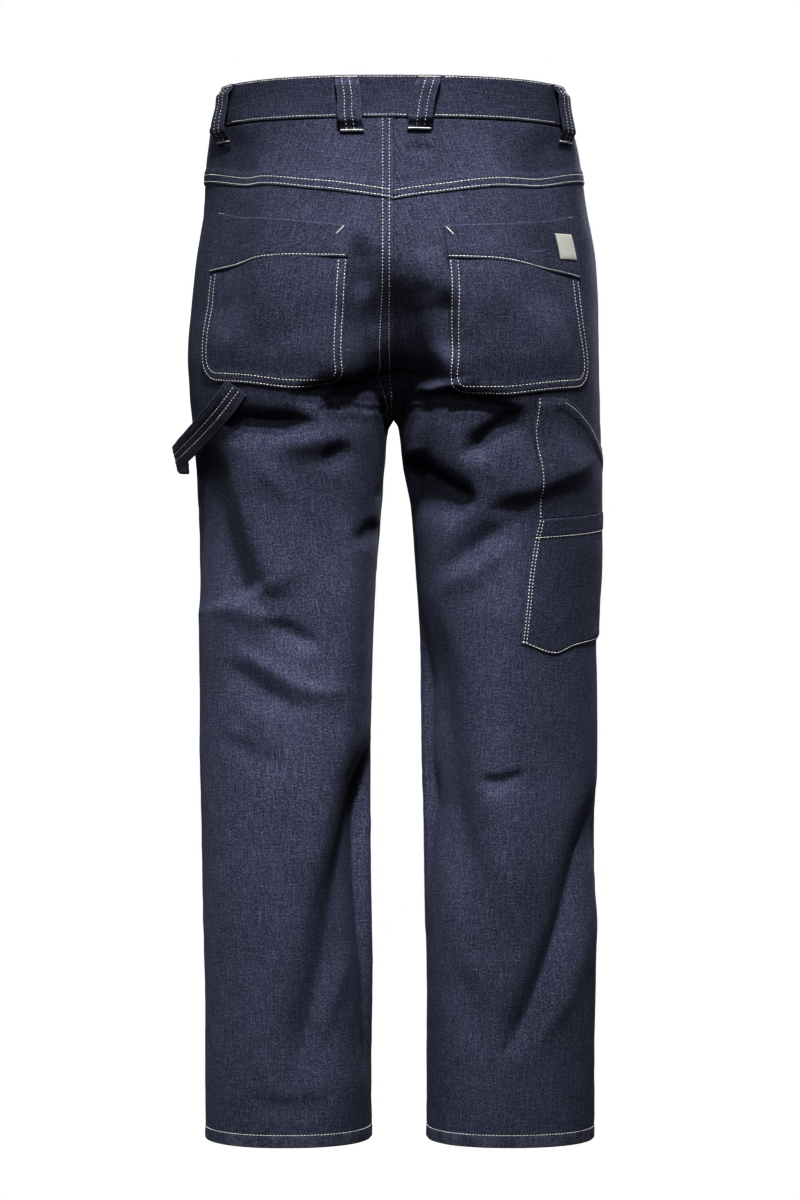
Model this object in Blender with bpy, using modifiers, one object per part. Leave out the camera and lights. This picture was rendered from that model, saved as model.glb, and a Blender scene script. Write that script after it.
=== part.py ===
# Work jeans in dark denim, filled out as if worn: an open waist, two open legs, walls of cloth.
# Metres, +Z up.  The origin is the centre of the waist opening at mid waistband; the garment's front faces -Y
# and its own left side is +X.
import math

import bmesh
import bpy
import numpy as np

MM = 0.001

# ---------------------------------------------------------------- driving sizes
CLOTH = 1.2 * MM  # denim wall
BAND_CLOTH = 2.4 * MM  # waistband, two layers
STRAP_CLOTH = 1.8 * MM  # belt loops and hammer loop, folded strip
SEAM = 0.5 * MM  # space between two pieces at a seam
LAY = 1.4 * MM  # space under a pocket that lies on a panel
FACE_LAY = 0.6 * MM  # space under a pocket's own facing
BAND_LIFT = 1.0 * MM  # waistband's face stands this far off the body line
BAND_TOP = 21.5 * MM
BAND_LOW = -22.0 * MM
BAND_LAP = 20.0 * MM  # each end of the waistband past the front centre
BAND_LAP_LIFT = 4.2 * MM
HEM = -1064.0 * MM
OUTSEAM_FORWARD = math.radians(8.0)
LOOP_WIDTH = 24.0 * MM
HAMMER_WIDTH = 26.0 * MM
BUTTON_RADIUS = 8.5 * MM
BUTTON_THICK = 3.2 * MM

# Level sections of the filled-out garment, in mm: how far each leg reaches out and in from the centre plane (an
# inner reach below zero is cut off at the centre seam), and how deep the back and front are from the side seams.
COLUMNS = ("level", "out_l", "out_r", "in_l", "in_r", "back", "front", "square")
SECTIONS = (
    (23.0, 178.8, 177.0, -178.8, -177.0, 108.0, 104.0, 2.25),
    (0.0, 183.0, 180.5, -183.0, -180.5, 110.0, 106.0, 2.25),
    (-23.0, 190.6, 186.6, -190.0, -186.0, 113.0, 108.0, 2.25),
    (-33.0, 191.9, 189.4, -189.0, -187.0, 115.0, 109.0, 2.25),
    (-64.0, 196.1, 195.6, -184.0, -184.0, 121.0, 112.0, 2.28),
    (-104.0, 199.4, 201.2, -168.0, -170.0, 129.0, 114.0, 2.30),
    (-150.0, 206.0, 209.0, -142.0, -144.0, 136.0, 115.0, 2.30),
    (-200.0, 210.6, 212.2, -104.0, -105.0, 140.0, 114.0, 2.30),
    (-257.0, 213.2, 213.2, -54.0, -54.0, 138.0, 112.0, 2.30),
    (-298.0, 211.4, 213.8, -15.0, -15.0, 130.0, 109.0, 2.28),
    (-317.2, 209.6, 214.2, 0.0, 0.0, 125.0, 107.0, 2.26),
    (-330.0, 208.6, 214.6, 6.8, 5.2, 121.5, 106.0, 2.25),
    (-365.0, 207.2, 214.6, 10.8, 9.8, 114.5, 104.0, 2.25),
    (-411.0, 204.8, 213.6, 13.9, 18.4, 107.0, 100.0, 2.25),
    (-506.0, 201.8, 211.4, 20.2, 25.4, 96.0, 90.0, 2.25),
    (-566.0, 201.6, 210.2, 23.2, 28.6, 90.0, 84.0, 2.25),
    (-685.0, 200.8, 209.8, 25.6, 30.0, 81.0, 75.0, 2.22),
    (-818.0, 198.8, 208.6, 25.0, 32.8, 77.0, 70.0, 2.20),
    (-922.0, 195.8, 209.0, 24.0, 34.3, 74.0, 68.0, 2.20),
    (-1064.0, 194.0, 208.4, 23.4, 35.6, 72.0, 66.0, 2.20),
)

# The yoke's lower seam: share of the way from the centre seam to the outseam, level in mm.
YOKE = (("share", "level"), (0.0, -105.0), (0.05, -102.0), (0.2, -96.6), (0.4, -90.6), (0.6, -83.6), (0.8, -76.0), (1.0, -71.5))

# Levels of the rows of a leg panel, close together round the fork, in mm.
PANEL_ROWS = (
    -105.0, -130.0, -158.0, -188.0, -218.0, -246.0, -268.0, -284.0, -296.0, -304.5, -310.5, -314.6, -317.2,
    -320.0, -325.0, -334.0, -350.0, -378.0, -418.0, -470.0, -530.0, -600.0, -685.0, -790.0, -900.0, -1000.0, -1064.0,
)

# Pockets.  "round" is the distance in mm from the outseam towards the centre seam, along the cloth.
POCKET_LEFT = dict(
    inner=(("down", "round"), (0.0, 252.0), (0.2, 262.0), (0.6, 268.0), (1.0, 269.0)),
    outer=(("down", "round"), (0.0, 88.0), (0.38, 100.5), (0.6, 104.0), (1.0, 108.0)),
    top=(("across", "level"), (0.0, -133.0), (0.5, -125.5), (0.8, -117.0), (1.0, -110.5)),
    bottom=(("across", "level"), (0.0, -297.0), (0.35, -295.8), (0.65, -290.0), (1.0, -285.5)),
    facing=(("across", "level"), (0.0, -165.8), (0.3, -165.6), (0.6, -168.2), (0.85, -172.0), (1.0, -174.2)),
    corner=0.13,
)
POCKET_RIGHT = dict(
    inner=(("down", "round"), (0.0, 252.5), (0.2, 256.0), (0.7, 263.0), (1.0, 264.0)),
    outer=(("down", "round"), (0.0, 92.0), (0.4, 107.5), (0.6, 109.0), (0.85, 103.5), (1.0, 101.0)),
    top=(("across", "level"), (0.0, -133.8), (0.3, -132.6), (0.6, -126.0), (1.0, -115.5)),
    bottom=(("across", "level"), (0.0, -302.6), (0.35, -302.4), (0.65, -297.0), (1.0, -291.5)),
    facing=(("across", "level"), (0.0, -167.0), (0.3, -169.6), (0.6, -173.0), (0.85, -178.0), (1.0, -181.5)),
    corner=0.13,
)
TOOL_UPPER = dict(
    inner=(("down", "round"), (0.0, 170.0), (0.25, 169.0), (0.6, 158.0), (1.0, 150.5)),
    outer=(("down", "round"), (0.0, 4.0), (1.0, 4.0)),
    top=(("across", "level"), (0.0, -304.2), (0.17, -304.0), (0.24, -307.5), (0.4, -321.0), (0.56, -337.0), (0.72, -352.0), (0.88, -363.5), (1.0, -371.0)),
    bottom=(("across", "level"), (0.0, -424.6), (0.27, -421.6), (0.9, -413.6), (1.0, -412.8)),
    corner=0.0,
)
TOOL_LOWER = dict(
    inner=(("down", "round"), (0.0, 150.5), (0.15, 152.5), (0.5, 153.6), (1.0, 153.0)),
    outer=(("down", "round"), (0.0, 4.0), (1.0, 4.0)),
    top=(("across", "level"), (0.0, -425.2), (0.27, -422.2), (0.9, -414.2), (1.0, -413.4)),
    bottom=(("across", "level"), (0.0, -550.0), (0.25, -562.0), (0.4, -554.0), (0.7, -548.0), (1.0, -543.0)),
    corner=0.0,
)
LABEL = dict(inner=131.0, outer=108.5, top=-136.0, low=-163.0, thick=0.6 * MM, lay=0.5 * MM)  # round and level in mm

# Belt loops: side (+1 left), face, distance round from the outseam at the top and the bottom, level of the bottom,
# and the belt room behind the loop.
BELT_LOOPS = (
    ("name", "side", "face", "round_top", "round_low", "low", "room"),
    ("belt_loop_back_left", 1, "back", 204.0, 229.0, -38.5, 9.6),
    ("belt_loop_back_right", -1, "back", 214.0, 242.5, -36.0, 8.7),
    ("belt_loop_side_left", 1, "back", 62.5, 82.0, -42.0, 6.5),
    ("belt_loop_side_right", -1, "back", 61.5, 77.0, -41.5, 6.5),
    ("belt_loop_front_left", 1, "front", 112.0, 118.0, -40.0, 6.5),
    ("belt_loop_front_right", -1, "front", 112.0, 118.0, -40.0, 6.5),
)

# Hammer loop on the left side: its middle line, and how far its width leans from level, sewn end to sewn end.
HAMMER = (
    ("x", "y", "z", "lean"),
    (157.5, 123.8, -294.5, 36.0),
    (165.0, 120.3, -304.5, 40.0),
    (175.0, 112.5, -316.5, 46.0),
    (187.0, 99.0, -329.0, 52.0),
    (199.5, 84.0, -340.5, 60.0),
    (211.5, 66.0, -350.5, 69.0),
    (221.0, 44.0, -357.5, 76.0),
    (226.5, 20.0, -361.0, 78.0),
    (224.5, -2.0, -362.5, 82.0),
    (216.5, -17.0, -362.0, 87.0),
)

FLY = dict(edge=-8.0, wide=36.0, top=-23.0, low=-186.0)  # mm: past the centre, beyond it, levels

DENIM = (0.045, 0.050, 0.098)


# ---------------------------------------------------------------- reading the tables
def smooth_table(xs, ys):
    """Shape-preserving cubic through a short table, as a function of its first column."""
    xs, ys = np.asarray(xs, float), np.asarray(ys, float)
    if xs[0] > xs[-1]:
        xs, ys = xs[::-1], ys[::-1]
    h = np.diff(xs)
    d = np.diff(ys) / h
    m = np.zeros_like(ys)
    m[0], m[-1] = d[0], d[-1]
    for i in range(1, len(xs) - 1):
        if d[i - 1] * d[i] > 0:
            w1, w2 = 2 * h[i] + h[i - 1], h[i] + 2 * h[i - 1]
            m[i] = (w1 + w2) / (w1 / d[i - 1] + w2 / d[i])

    def read(x):
        x = np.clip(np.asarray(x, float), xs[0], xs[-1])
        i = np.clip(np.searchsorted(xs, x) - 1, 0, len(xs) - 2)
        t = (x - xs[i]) / h[i]
        return (
            ys[i] * (1 + 2 * t) * (1 - t) ** 2
            + m[i] * h[i] * t * (1 - t) ** 2
            + ys[i + 1] * t * t * (3 - 2 * t)
            + m[i + 1] * h[i] * t * t * (t - 1)
        )

    return read


def named(table, scale_first=1.0):
    """A two-column table with a heading row; its second column is in mm."""
    return smooth_table([r[0] * scale_first for r in table[1:]], [r[1] * MM for r in table[1:]])


BODY = {
    name: smooth_table([r[0] * MM for r in SECTIONS], [r[i] * (1.0 if name == "square" else MM) for r in SECTIONS])
    for i, name in enumerate(COLUMNS)
    if i
}
YOKE_LEVEL = named(YOKE)


# ---------------------------------------------------------------- the filled-out body of the garment
def half_section(side, face, z, count):
    """Half of one leg's level section, evenly spaced from the centre seam or inseam to the outseam."""
    tag = "l" if side > 0 else "r"
    out, inn = float(BODY["out_" + tag](z)), float(BODY["in_" + tag](z))
    n = float(BODY["square"](z))
    a, c = (out - inn) / 2, (out + inn) / 2
    end = math.pi if inn >= 0 else math.acos(max(-1.0, -((max(c, 0.0) / a) ** (n / 2))))
    turn = np.linspace(end if face == "back" else -end, -OUTSEAM_FORWARD, 241)
    cs, sn = np.cos(turn), np.sin(turn)
    x = c + a * np.sign(cs) * np.abs(cs) ** (2 / n)
    y = np.where(sn >= 0, float(BODY["back"](z)), float(BODY["front"](z))) * np.sign(sn) * np.abs(sn) ** (2 / n)
    if inn < 0:
        x[0] = 0.0
    s = np.concatenate([[0], np.cumsum(np.hypot(np.diff(x), np.diff(y)))])
    t = np.linspace(0, s[-1], count)
    return np.interp(t, s, x), np.interp(t, s, y), s[-1]


NET_COLS = 161
LEVELS = np.unique(
    np.concatenate([np.linspace(0.030, -0.26, 117), np.linspace(-0.26, -0.345, 171), np.linspace(-0.345, -1.070, 243)])
)
NET, GIRTH = {}, {}
for _side in (1, -1):
    for _face in ("back", "front"):
        _rows = [half_section(_side, _face, z, NET_COLS) for z in LEVELS]
        NET[_side, _face] = np.array([[r[0], r[1]] for r in _rows]).transpose(0, 2, 1)
        GIRTH[_side, _face] = np.array([r[2] for r in _rows])


def point(side, face, u, z):
    """Outer face of the cloth at a share u of the way from the inner seam to the outseam, at level z."""
    u, z = np.broadcast_arrays(np.asarray(u, float), np.asarray(z, float))
    net = NET[side, face]
    i = np.clip(np.searchsorted(LEVELS, z) - 1, 0, len(LEVELS) - 2)
    fz = (z - LEVELS[i]) / (LEVELS[i + 1] - LEVELS[i])
    uu = np.clip(u, 0, 1) * (NET_COLS - 1)
    j = np.clip(uu.astype(int), 0, NET_COLS - 2)
    fu = uu - j
    p = (
        net[i, j] * ((1 - fz) * (1 - fu))[..., None]
        + net[i + 1, j] * (fz * (1 - fu))[..., None]
        + net[i, j + 1] * ((1 - fz) * fu)[..., None]
        + net[i + 1, j + 1] * (fz * fu)[..., None]
    )
    return np.stack([p[..., 0] * side, p[..., 1], z], -1)


def outward(side, face, u, z):
    """Unit normal of the cloth, out of the garment."""
    du, dz = 0.004, 0.0015
    u, z = np.broadcast_arrays(np.asarray(u, float), np.asarray(z, float))
    a = point(side, face, np.clip(u + du, 0, 1), z) - point(side, face, np.clip(u - du, 0, 1), z)
    b = point(side, face, u, z + dz) - point(side, face, u, z - dz)
    n = np.cross(a, b)
    n /= np.linalg.norm(n, axis=-1)[..., None]
    return -n if (side > 0) == (face == "back") else n


def lifted(side, face, u, z, lift):
    lift = np.broadcast_to(np.asarray(lift, float), np.broadcast(np.asarray(u), np.asarray(z)).shape)
    return point(side, face, u, z) + outward(side, face, u, z) * lift[..., None]


def share(side, face, distance, z):
    """The share u that lies a distance from the outseam, along the cloth."""
    return 1 - np.asarray(distance) / np.interp(z, LEVELS, GIRTH[side, face])


def laid(side, distance, z, lift, face="back"):
    return lifted(side, face, share(side, face, distance, z), z, lift)


# ---------------------------------------------------------------- making objects
def clear_scene():
    for ob in list(bpy.data.objects):
        bpy.data.objects.remove(ob, do_unlink=True)


clear_scene()
GARMENT = bpy.data.collections.new("work_jeans")
bpy.context.scene.collection.children.link(GARMENT)


def dress(ob, colour, rough, metal=0.0):
    mat = bpy.data.materials.new(ob.name + "_finish")
    mat.use_nodes = True
    shader = mat.node_tree.nodes["Principled BSDF"]
    shader.inputs["Base Color"].default_value = (*colour, 1)
    shader.inputs["Roughness"].default_value = rough
    shader.inputs["Metallic"].default_value = metal
    mat.diffuse_color = (*colour, 1)
    ob.data.materials.append(mat)


def cloth(name, place, columns, rows, thick=CLOTH, colour=DENIM, rough=0.85):
    """An open grid laid by place(across, down), thickened inwards from its outer face."""
    across, down = np.meshgrid(np.asarray(columns, float), np.asarray(rows, float), indexing="ij")
    where = place(across, down)
    bm = bmesh.new()
    bmesh.ops.create_grid(bm, x_segments=len(columns) - 1, y_segments=len(rows) - 1, size=1.0)
    bm.verts.ensure_lookup_table()
    for v in bm.verts:
        i = round((v.co.x + 1) / 2 * (len(columns) - 1))
        j = round((1 - v.co.y) / 2 * (len(rows) - 1))
        v.co = where[i, j]
    bm.normal_update()
    # faces look away from the middle of the leg or waist they belong to
    i, j = len(columns) // 2, len(rows) // 2
    out = place(across, down, True)[i, j]
    near = min(bm.faces, key=lambda f: (f.calc_center_median() - bm.verts[0].co.__class__(where[i, j])).length)
    if near.normal.dot(bm.verts[0].co.__class__(out)) < 0:
        bmesh.ops.reverse_faces(bm, faces=bm.faces[:])
    mesh = bpy.data.meshes.new(name)
    bm.to_mesh(mesh)
    bm.free()
    mesh.shade_smooth()
    ob = bpy.data.objects.new(name, mesh)
    GARMENT.objects.link(ob)
    solid = ob.modifiers.new("wall", "SOLIDIFY")
    solid.thickness = thick
    solid.offset = -1.0
    dress(ob, colour, rough)
    return ob


def ends_closer(count):
    """Column shares from 0 to 1, closer together at both seams."""
    p = np.linspace(0, 1, count)
    return 0.5 * p + 0.25 * (1 - np.cos(math.pi * p))


def apart(side, face, where):
    """Half a seam's space from the centre plane, and half from the side seam plane."""
    where = where.copy()
    where[..., 0] += side * SEAM / 2
    where[..., 1] += SEAM / 2 if face == "back" else -SEAM / 2
    return where


# ---------------------------------------------------------------- leg panels and yokes
def columns_down(side, face, u, z):
    """The panel's columns run straight down the leg; the extra width at the fork is taken up next to the inner seam."""
    girth = np.interp(z, LEVELS, GIRTH[side, face])
    above, below = (float(np.interp(k, LEVELS, GIRTH[side, face])) for k in (-0.25, -0.42))
    t = np.clip((-0.25 - z) / 0.17, 0, 1)
    even = np.where((z < -0.25) & (z > -0.42), above + (below - above) * t, girth)
    distance = even * (1 - u) + (girth - even) * (1 - u) ** 4
    return 1 - distance / girth


def leg_panel(side, face):
    rows = np.array(PANEL_ROWS) * MM
    if face == "front":
        rows = np.concatenate([[BAND_LOW - SEAM / 2, -0.045, -0.072], rows])

    def place(u, z, normals=False):
        if face == "back":
            drop = np.clip((z + 0.25) / (0.25 - 0.105), 0, 1)
            level = z + (YOKE_LEVEL(u) + 0.105) * drop * drop * (3 - 2 * drop) - np.where(z > -0.1055, SEAM / 2, 0)
        else:
            level = z
        u = columns_down(side, face, u, level)
        if normals:
            return outward(side, face, u, level)
        return apart(side, face, point(side, face, u, level))

    cloth(f"{face}_panel_{'left' if side > 0 else 'right'}", place, ends_closer(13 if face == "back" else 10), rows)


def yoke(side):
    def place(u, q, normals=False):
        top, low = BAND_LOW - SEAM / 2, YOKE_LEVEL(u) + SEAM / 2
        level = top + (low - top) * q
        if normals:
            return outward(side, "back", u, level)
        return apart(side, "back", point(side, "back", u, level))

    cloth(f"back_yoke_{'left' if side > 0 else 'right'}", place, ends_closer(13), np.linspace(0, 1, 4))


# ---------------------------------------------------------------- waistband
def ring_point(f, z, lift):
    """The waist ring at a share f of its way round from the front centre by the left side and the back."""
    f, z, lift = np.broadcast_arrays(f, z, lift)
    out = np.empty(f.shape + (3,))
    for k in np.ndindex(f.shape):
        g = {key: float(np.interp(z[k], LEVELS, GIRTH[key])) for key in GIRTH}
        legs = ((1, "front"), (1, "back"), (-1, "back"), (-1, "front"))
        length = sum(g.values())
        s = (f[k] % 1.0) * length
        for n, key in enumerate(legs):
            if s <= g[key] or n == 3:
                u = s / g[key] if n % 2 == 0 else 1 - s / g[key]
                out[k] = lifted(*key, np.array(u), np.array(z[k]), np.array(lift[k]))
                break
            s -= g[key]
    return out


RING = sum(float(np.interp(0.0, LEVELS, g)) for g in GIRTH.values())


def waistband():
    over = BAND_LAP / RING

    def lift(f):
        t = np.clip((f - 30 * MM / RING) / (35 * MM / RING), 0, 1)
        return BAND_LAP_LIFT + (BAND_LIFT - BAND_LAP_LIFT) * t * t * (3 - 2 * t)

    def place(f, z, normals=False):
        if normals:
            return ring_point(f, z, np.zeros_like(f) + 0.01) - ring_point(f, z, np.zeros_like(f))
        return ring_point(f, z, lift(f))

    columns = np.concatenate([[-over, 0.0, 15 * MM / RING], np.linspace(30 * MM / RING, 1 - 0.012, 46), [1.0, 1 + over]])
    cloth("waistband", place, columns, np.array([BAND_TOP, 0.0, BAND_LOW + SEAM / 2]), BAND_CLOTH)


# ---------------------------------------------------------------- pockets and what lies on the panels
def patch(name, side, spec, columns, rows, lift, low="bottom", thick=CLOTH, colour=DENIM):
    inner, outer, top, bottom, edge = (named(spec[k]) for k in ("inner", "outer", "top", "bottom", low))
    corner = spec["corner"] if low == "bottom" else 0.0

    def place(across, down, normals=False):
        # the lower corners are rounded: near them the sides draw in and the bottom draws up
        full_top, full_low = top(across), bottom(across)
        level = full_top + (edge(across) - full_top) * down
        depth = (full_top - level) / (full_top - full_low)
        here = across
        if corner:
            near = np.clip((depth - (1 - corner)) / corner, 0, 1)
            draw = corner * (1 - np.sqrt(1 - 0.93 * near**2))
            here = 0.5 + (across - 0.5) * (1 - 1.4 * draw)
            side_near = np.clip((np.abs(across - 0.5) - (0.5 - corner)) / corner, 0, 1)
            level = level + near * side_near**2 * 9.0 * MM
        distance = inner(depth) + (outer(depth) - inner(depth)) * here
        u = share(side, "back", distance, level)
        return outward(side, "back", u, level) if normals else lifted(side, "back", u, level, lift)

    return cloth(name, place, columns, rows, thick, colour)


def pockets():
    nine = np.linspace(0, 1, 10)
    for side, word, spec in ((1, "left", POCKET_LEFT), (-1, "right", POCKET_RIGHT)):
        patch(f"back_pocket_{word}", side, spec, nine, np.array([0, 0.2, 0.4, 0.6, 0.76, 0.87, 0.93, 0.97, 1.0]), LAY + CLOTH)
        patch(f"back_pocket_facing_{word}", side, spec, nine, np.linspace(0, 1, 4), LAY + 2 * CLOTH + FACE_LAY, low="facing")
    patch("tool_pocket_upper", -1, TOOL_UPPER, np.linspace(0, 1, 13), np.linspace(0, 1, 7), LAY + CLOTH)
    patch("tool_pocket_lower", -1, TOOL_LOWER, np.linspace(0, 1, 13), np.linspace(0, 1, 7), LAY + CLOTH)


def label():
    lift = LAY + 2 * CLOTH + FACE_LAY + LABEL["lay"] + LABEL["thick"]

    def place(across, down, normals=False):
        distance = (LABEL["inner"] + (LABEL["outer"] - LABEL["inner"]) * across) * MM
        level = (LABEL["top"] + (LABEL["low"] - LABEL["top"]) * down) * MM
        u = share(-1, "back", distance, level)
        return outward(-1, "back", u, level) if normals else lifted(-1, "back", u, level, lift)

    cloth("pocket_label", place, np.linspace(0, 1, 4), np.linspace(0, 1, 3), LABEL["thick"], (0.72, 0.71, 0.67), 0.7)


# ---------------------------------------------------------------- loops
def belt_loop(name, side, face, round_top, round_low, low, room):
    top = BAND_TOP - 0.5 * MM
    low = low * MM
    steps = np.array([0.0, 0.08, 0.13, 0.19, 0.27, 0.4, 0.55, 0.7, 0.79, 0.86, 0.92, 1.0])

    def place(across, down, normals=False):
        level = top + (low - top) * down
        distance = (round_top + (round_low - round_top) * down) * MM + (across - 0.5) * LOOP_WIDTH
        rise = np.clip(np.minimum(down - 0.07, 0.93 - down) / 0.14, 0, 1)
        rise = rise * rise * (3 - 2 * rise)
        foot = np.where(down > 0.5, 0.5 * MM, BAND_LIFT) + 0.6 * MM + STRAP_CLOTH
        lift = foot + rise * (BAND_LIFT + room * MM + STRAP_CLOTH - foot)
        u = share(side, face, distance, level)
        if normals:
            return outward(side, face, u, level)
        return lifted(side, face, u, level, lift)

    cloth(name, place, np.array([0.0, 0.5, 1.0]), steps, STRAP_CLOTH)


def hammer_loop():
    rows = np.array(HAMMER[1:], float)
    t = np.linspace(0, 1, len(rows))
    line = [smooth_table(t, rows[:, k] * MM) for k in range(3)]
    lean = smooth_table(t, rows[:, 3])

    def place(across, down, normals=False):
        here = np.stack([f(down) for f in line], -1)
        ahead = np.stack([f(np.clip(down + 0.01, 0, 1)) for f in line], -1)
        back = np.stack([f(np.clip(down - 0.01, 0, 1)) for f in line], -1)
        run = ahead - back
        run /= np.linalg.norm(run, axis=-1)[..., None]
        angle = np.radians(lean(down))
        wide = np.stack([np.cos(angle), np.zeros_like(angle), np.sin(angle)], -1)
        wide -= run * (wide * run).sum(-1)[..., None]
        wide /= np.linalg.norm(wide, axis=-1)[..., None]
        if normals:
            return np.cross(wide, run)
        return here + wide * ((across - 0.5) * HAMMER_WIDTH)[..., None]

    cloth("hammer_loop", place, np.array([0.0, 0.5, 1.0]), np.linspace(0, 1, 25), STRAP_CLOTH)


# ---------------------------------------------------------------- front closure
def fly_front():
    def place(across, down, normals=False):
        reach = FLY["edge"] + (FLY["wide"] - FLY["edge"]) * across
        # the free lower corner sweeps in to the centre seam
        low = FLY["low"] + 42.0 * across**2.2
        level = (FLY["top"] + (low - FLY["top"]) * down) * MM
        out = np.empty(reach.shape + (3,))
        for k in np.ndindex(reach.shape):
            side = 1 if reach[k] >= 0 else -1
            us = np.linspace(0, 0.5, 101)
            xs = point(side, "front", us, np.full(us.shape, level[k]))[:, 0] * side
            u = np.array(np.interp(abs(reach[k]) * MM, xs, us))
            n = outward(side, "front", u, np.array(level[k]))
            out[k] = n if normals else point(side, "front", u, np.array(level[k])) + n * (LAY + CLOTH)
        return out

    cloth("fly_front", place, np.linspace(0, 1, 6), np.linspace(0, 1, 9))


def waist_button():
    face_y = -float(BODY["front"](-10.0 * MM)) - BAND_LAP_LIFT - 0.3 * MM
    bm = bmesh.new()
    bmesh.ops.create_cone(bm, cap_ends=True, segments=24, radius1=BUTTON_RADIUS, radius2=BUTTON_RADIUS, depth=BUTTON_THICK)
    mesh = bpy.data.meshes.new("waist_button")
    bm.to_mesh(mesh)
    bm.free()
    mesh.shade_smooth()
    mesh.set_sharp_from_angle(angle=math.radians(30))
    ob = bpy.data.objects.new("waist_button", mesh)
    ob.rotation_euler = (math.radians(90), 0, 0)
    ob.location = (0.0, face_y - BUTTON_THICK / 2, 0.0)
    GARMENT.objects.link(ob)
    rim = ob.modifiers.new("rim", "BEVEL")
    rim.width = 0.8 * MM
    rim.segments = 1
    rim.limit_method = "ANGLE"
    dress(ob, (0.45, 0.30, 0.17), 0.35, 1.0)


for _side in (1, -1):
    yoke(_side)
    leg_panel(_side, "back")
    leg_panel(_side, "front")
waistband()
pockets()
label()
for _row in BELT_LOOPS[1:]:
    belt_loop(*_row)
hammer_loop()
fly_front()
waist_button()
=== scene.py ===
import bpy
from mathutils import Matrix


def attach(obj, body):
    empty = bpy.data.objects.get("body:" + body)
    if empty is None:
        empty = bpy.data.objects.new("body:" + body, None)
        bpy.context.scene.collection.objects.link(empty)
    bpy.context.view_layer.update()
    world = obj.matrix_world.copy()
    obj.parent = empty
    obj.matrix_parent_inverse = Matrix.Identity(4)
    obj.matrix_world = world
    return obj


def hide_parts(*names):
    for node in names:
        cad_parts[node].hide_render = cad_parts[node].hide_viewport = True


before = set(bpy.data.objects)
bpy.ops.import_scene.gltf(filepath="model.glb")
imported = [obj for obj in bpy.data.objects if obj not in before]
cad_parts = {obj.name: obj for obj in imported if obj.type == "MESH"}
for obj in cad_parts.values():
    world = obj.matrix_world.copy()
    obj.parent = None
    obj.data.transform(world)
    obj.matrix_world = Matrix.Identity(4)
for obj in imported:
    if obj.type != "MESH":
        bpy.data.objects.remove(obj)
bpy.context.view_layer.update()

import math

import bpy
import numpy as np
from mathutils import Vector
from mathutils.bvhtree import BVHTree

MM = 0.001

# ---------------------------------------------------------------- sizes shared with the CAD
CLOTH = 1.2 * MM
BAND_CLOTH = 2.4 * MM
STRAP_CLOTH = 1.8 * MM
BAND_TOP = 21.5 * MM
BAND_LOW = -22.0 * MM
BAND_LAP = 20.0 * MM
BAND_LAP_LIFT = 4.2 * MM
HEM = -1064.0 * MM
OUTSEAM_FORWARD = math.radians(8.0)
LOOP_WIDTH = 24.0 * MM
HAMMER_WIDTH = 26.0 * MM
BUTTON_RADIUS = 8.5 * MM
BUTTON_THICK = 3.2 * MM

COLUMNS = ("level", "out_l", "out_r", "in_l", "in_r", "back", "front", "square")
SECTIONS = (
    (23.0, 178.8, 177.0, -178.8, -177.0, 108.0, 104.0, 2.25),
    (0.0, 183.0, 180.5, -183.0, -180.5, 110.0, 106.0, 2.25),
    (-23.0, 190.6, 186.6, -190.0, -186.0, 113.0, 108.0, 2.25),
    (-33.0, 191.9, 189.4, -189.0, -187.0, 115.0, 109.0, 2.25),
    (-64.0, 196.1, 195.6, -184.0, -184.0, 121.0, 112.0, 2.28),
    (-104.0, 199.4, 201.2, -168.0, -170.0, 129.0, 114.0, 2.30),
    (-150.0, 206.0, 209.0, -142.0, -144.0, 136.0, 115.0, 2.30),
    (-200.0, 210.6, 212.2, -104.0, -105.0, 140.0, 114.0, 2.30),
    (-257.0, 213.2, 213.2, -54.0, -54.0, 138.0, 112.0, 2.30),
    (-298.0, 211.4, 213.8, -15.0, -15.0, 130.0, 109.0, 2.28),
    (-317.2, 209.6, 214.2, 0.0, 0.0, 125.0, 107.0, 2.26),
    (-330.0, 208.6, 214.6, 6.8, 5.2, 121.5, 106.0, 2.25),
    (-365.0, 207.2, 214.6, 10.8, 9.8, 114.5, 104.0, 2.25),
    (-411.0, 204.8, 213.6, 13.9, 18.4, 107.0, 100.0, 2.25),
    (-506.0, 201.8, 211.4, 20.2, 25.4, 96.0, 90.0, 2.25),
    (-566.0, 201.6, 210.2, 23.2, 28.6, 90.0, 84.0, 2.25),
    (-685.0, 200.8, 209.8, 25.6, 30.0, 81.0, 75.0, 2.22),
    (-818.0, 198.8, 208.6, 25.0, 32.8, 77.0, 70.0, 2.20),
    (-922.0, 195.8, 209.0, 24.0, 34.3, 74.0, 68.0, 2.20),
    (-1064.0, 194.0, 208.4, 23.4, 35.6, 72.0, 66.0, 2.20),
)
YOKE = (("share", "level"), (0.0, -105.0), (0.05, -102.0), (0.2, -96.6), (0.4, -90.6), (0.6, -83.6), (0.8, -76.0), (1.0, -71.5))
POCKET_LEFT = dict(
    inner=(("down", "round"), (0.0, 252.0), (0.2, 262.0), (0.6, 268.0), (1.0, 269.0)),
    outer=(("down", "round"), (0.0, 88.0), (0.38, 100.5), (0.6, 104.0), (1.0, 108.0)),
    top=(("across", "level"), (0.0, -133.0), (0.5, -125.5), (0.8, -117.0), (1.0, -110.5)),
    bottom=(("across", "level"), (0.0, -297.0), (0.35, -295.8), (0.65, -290.0), (1.0, -285.5)),
    facing=(("across", "level"), (0.0, -165.8), (0.3, -165.6), (0.6, -168.2), (0.85, -172.0), (1.0, -174.2)),
    corner=0.13,
)
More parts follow.
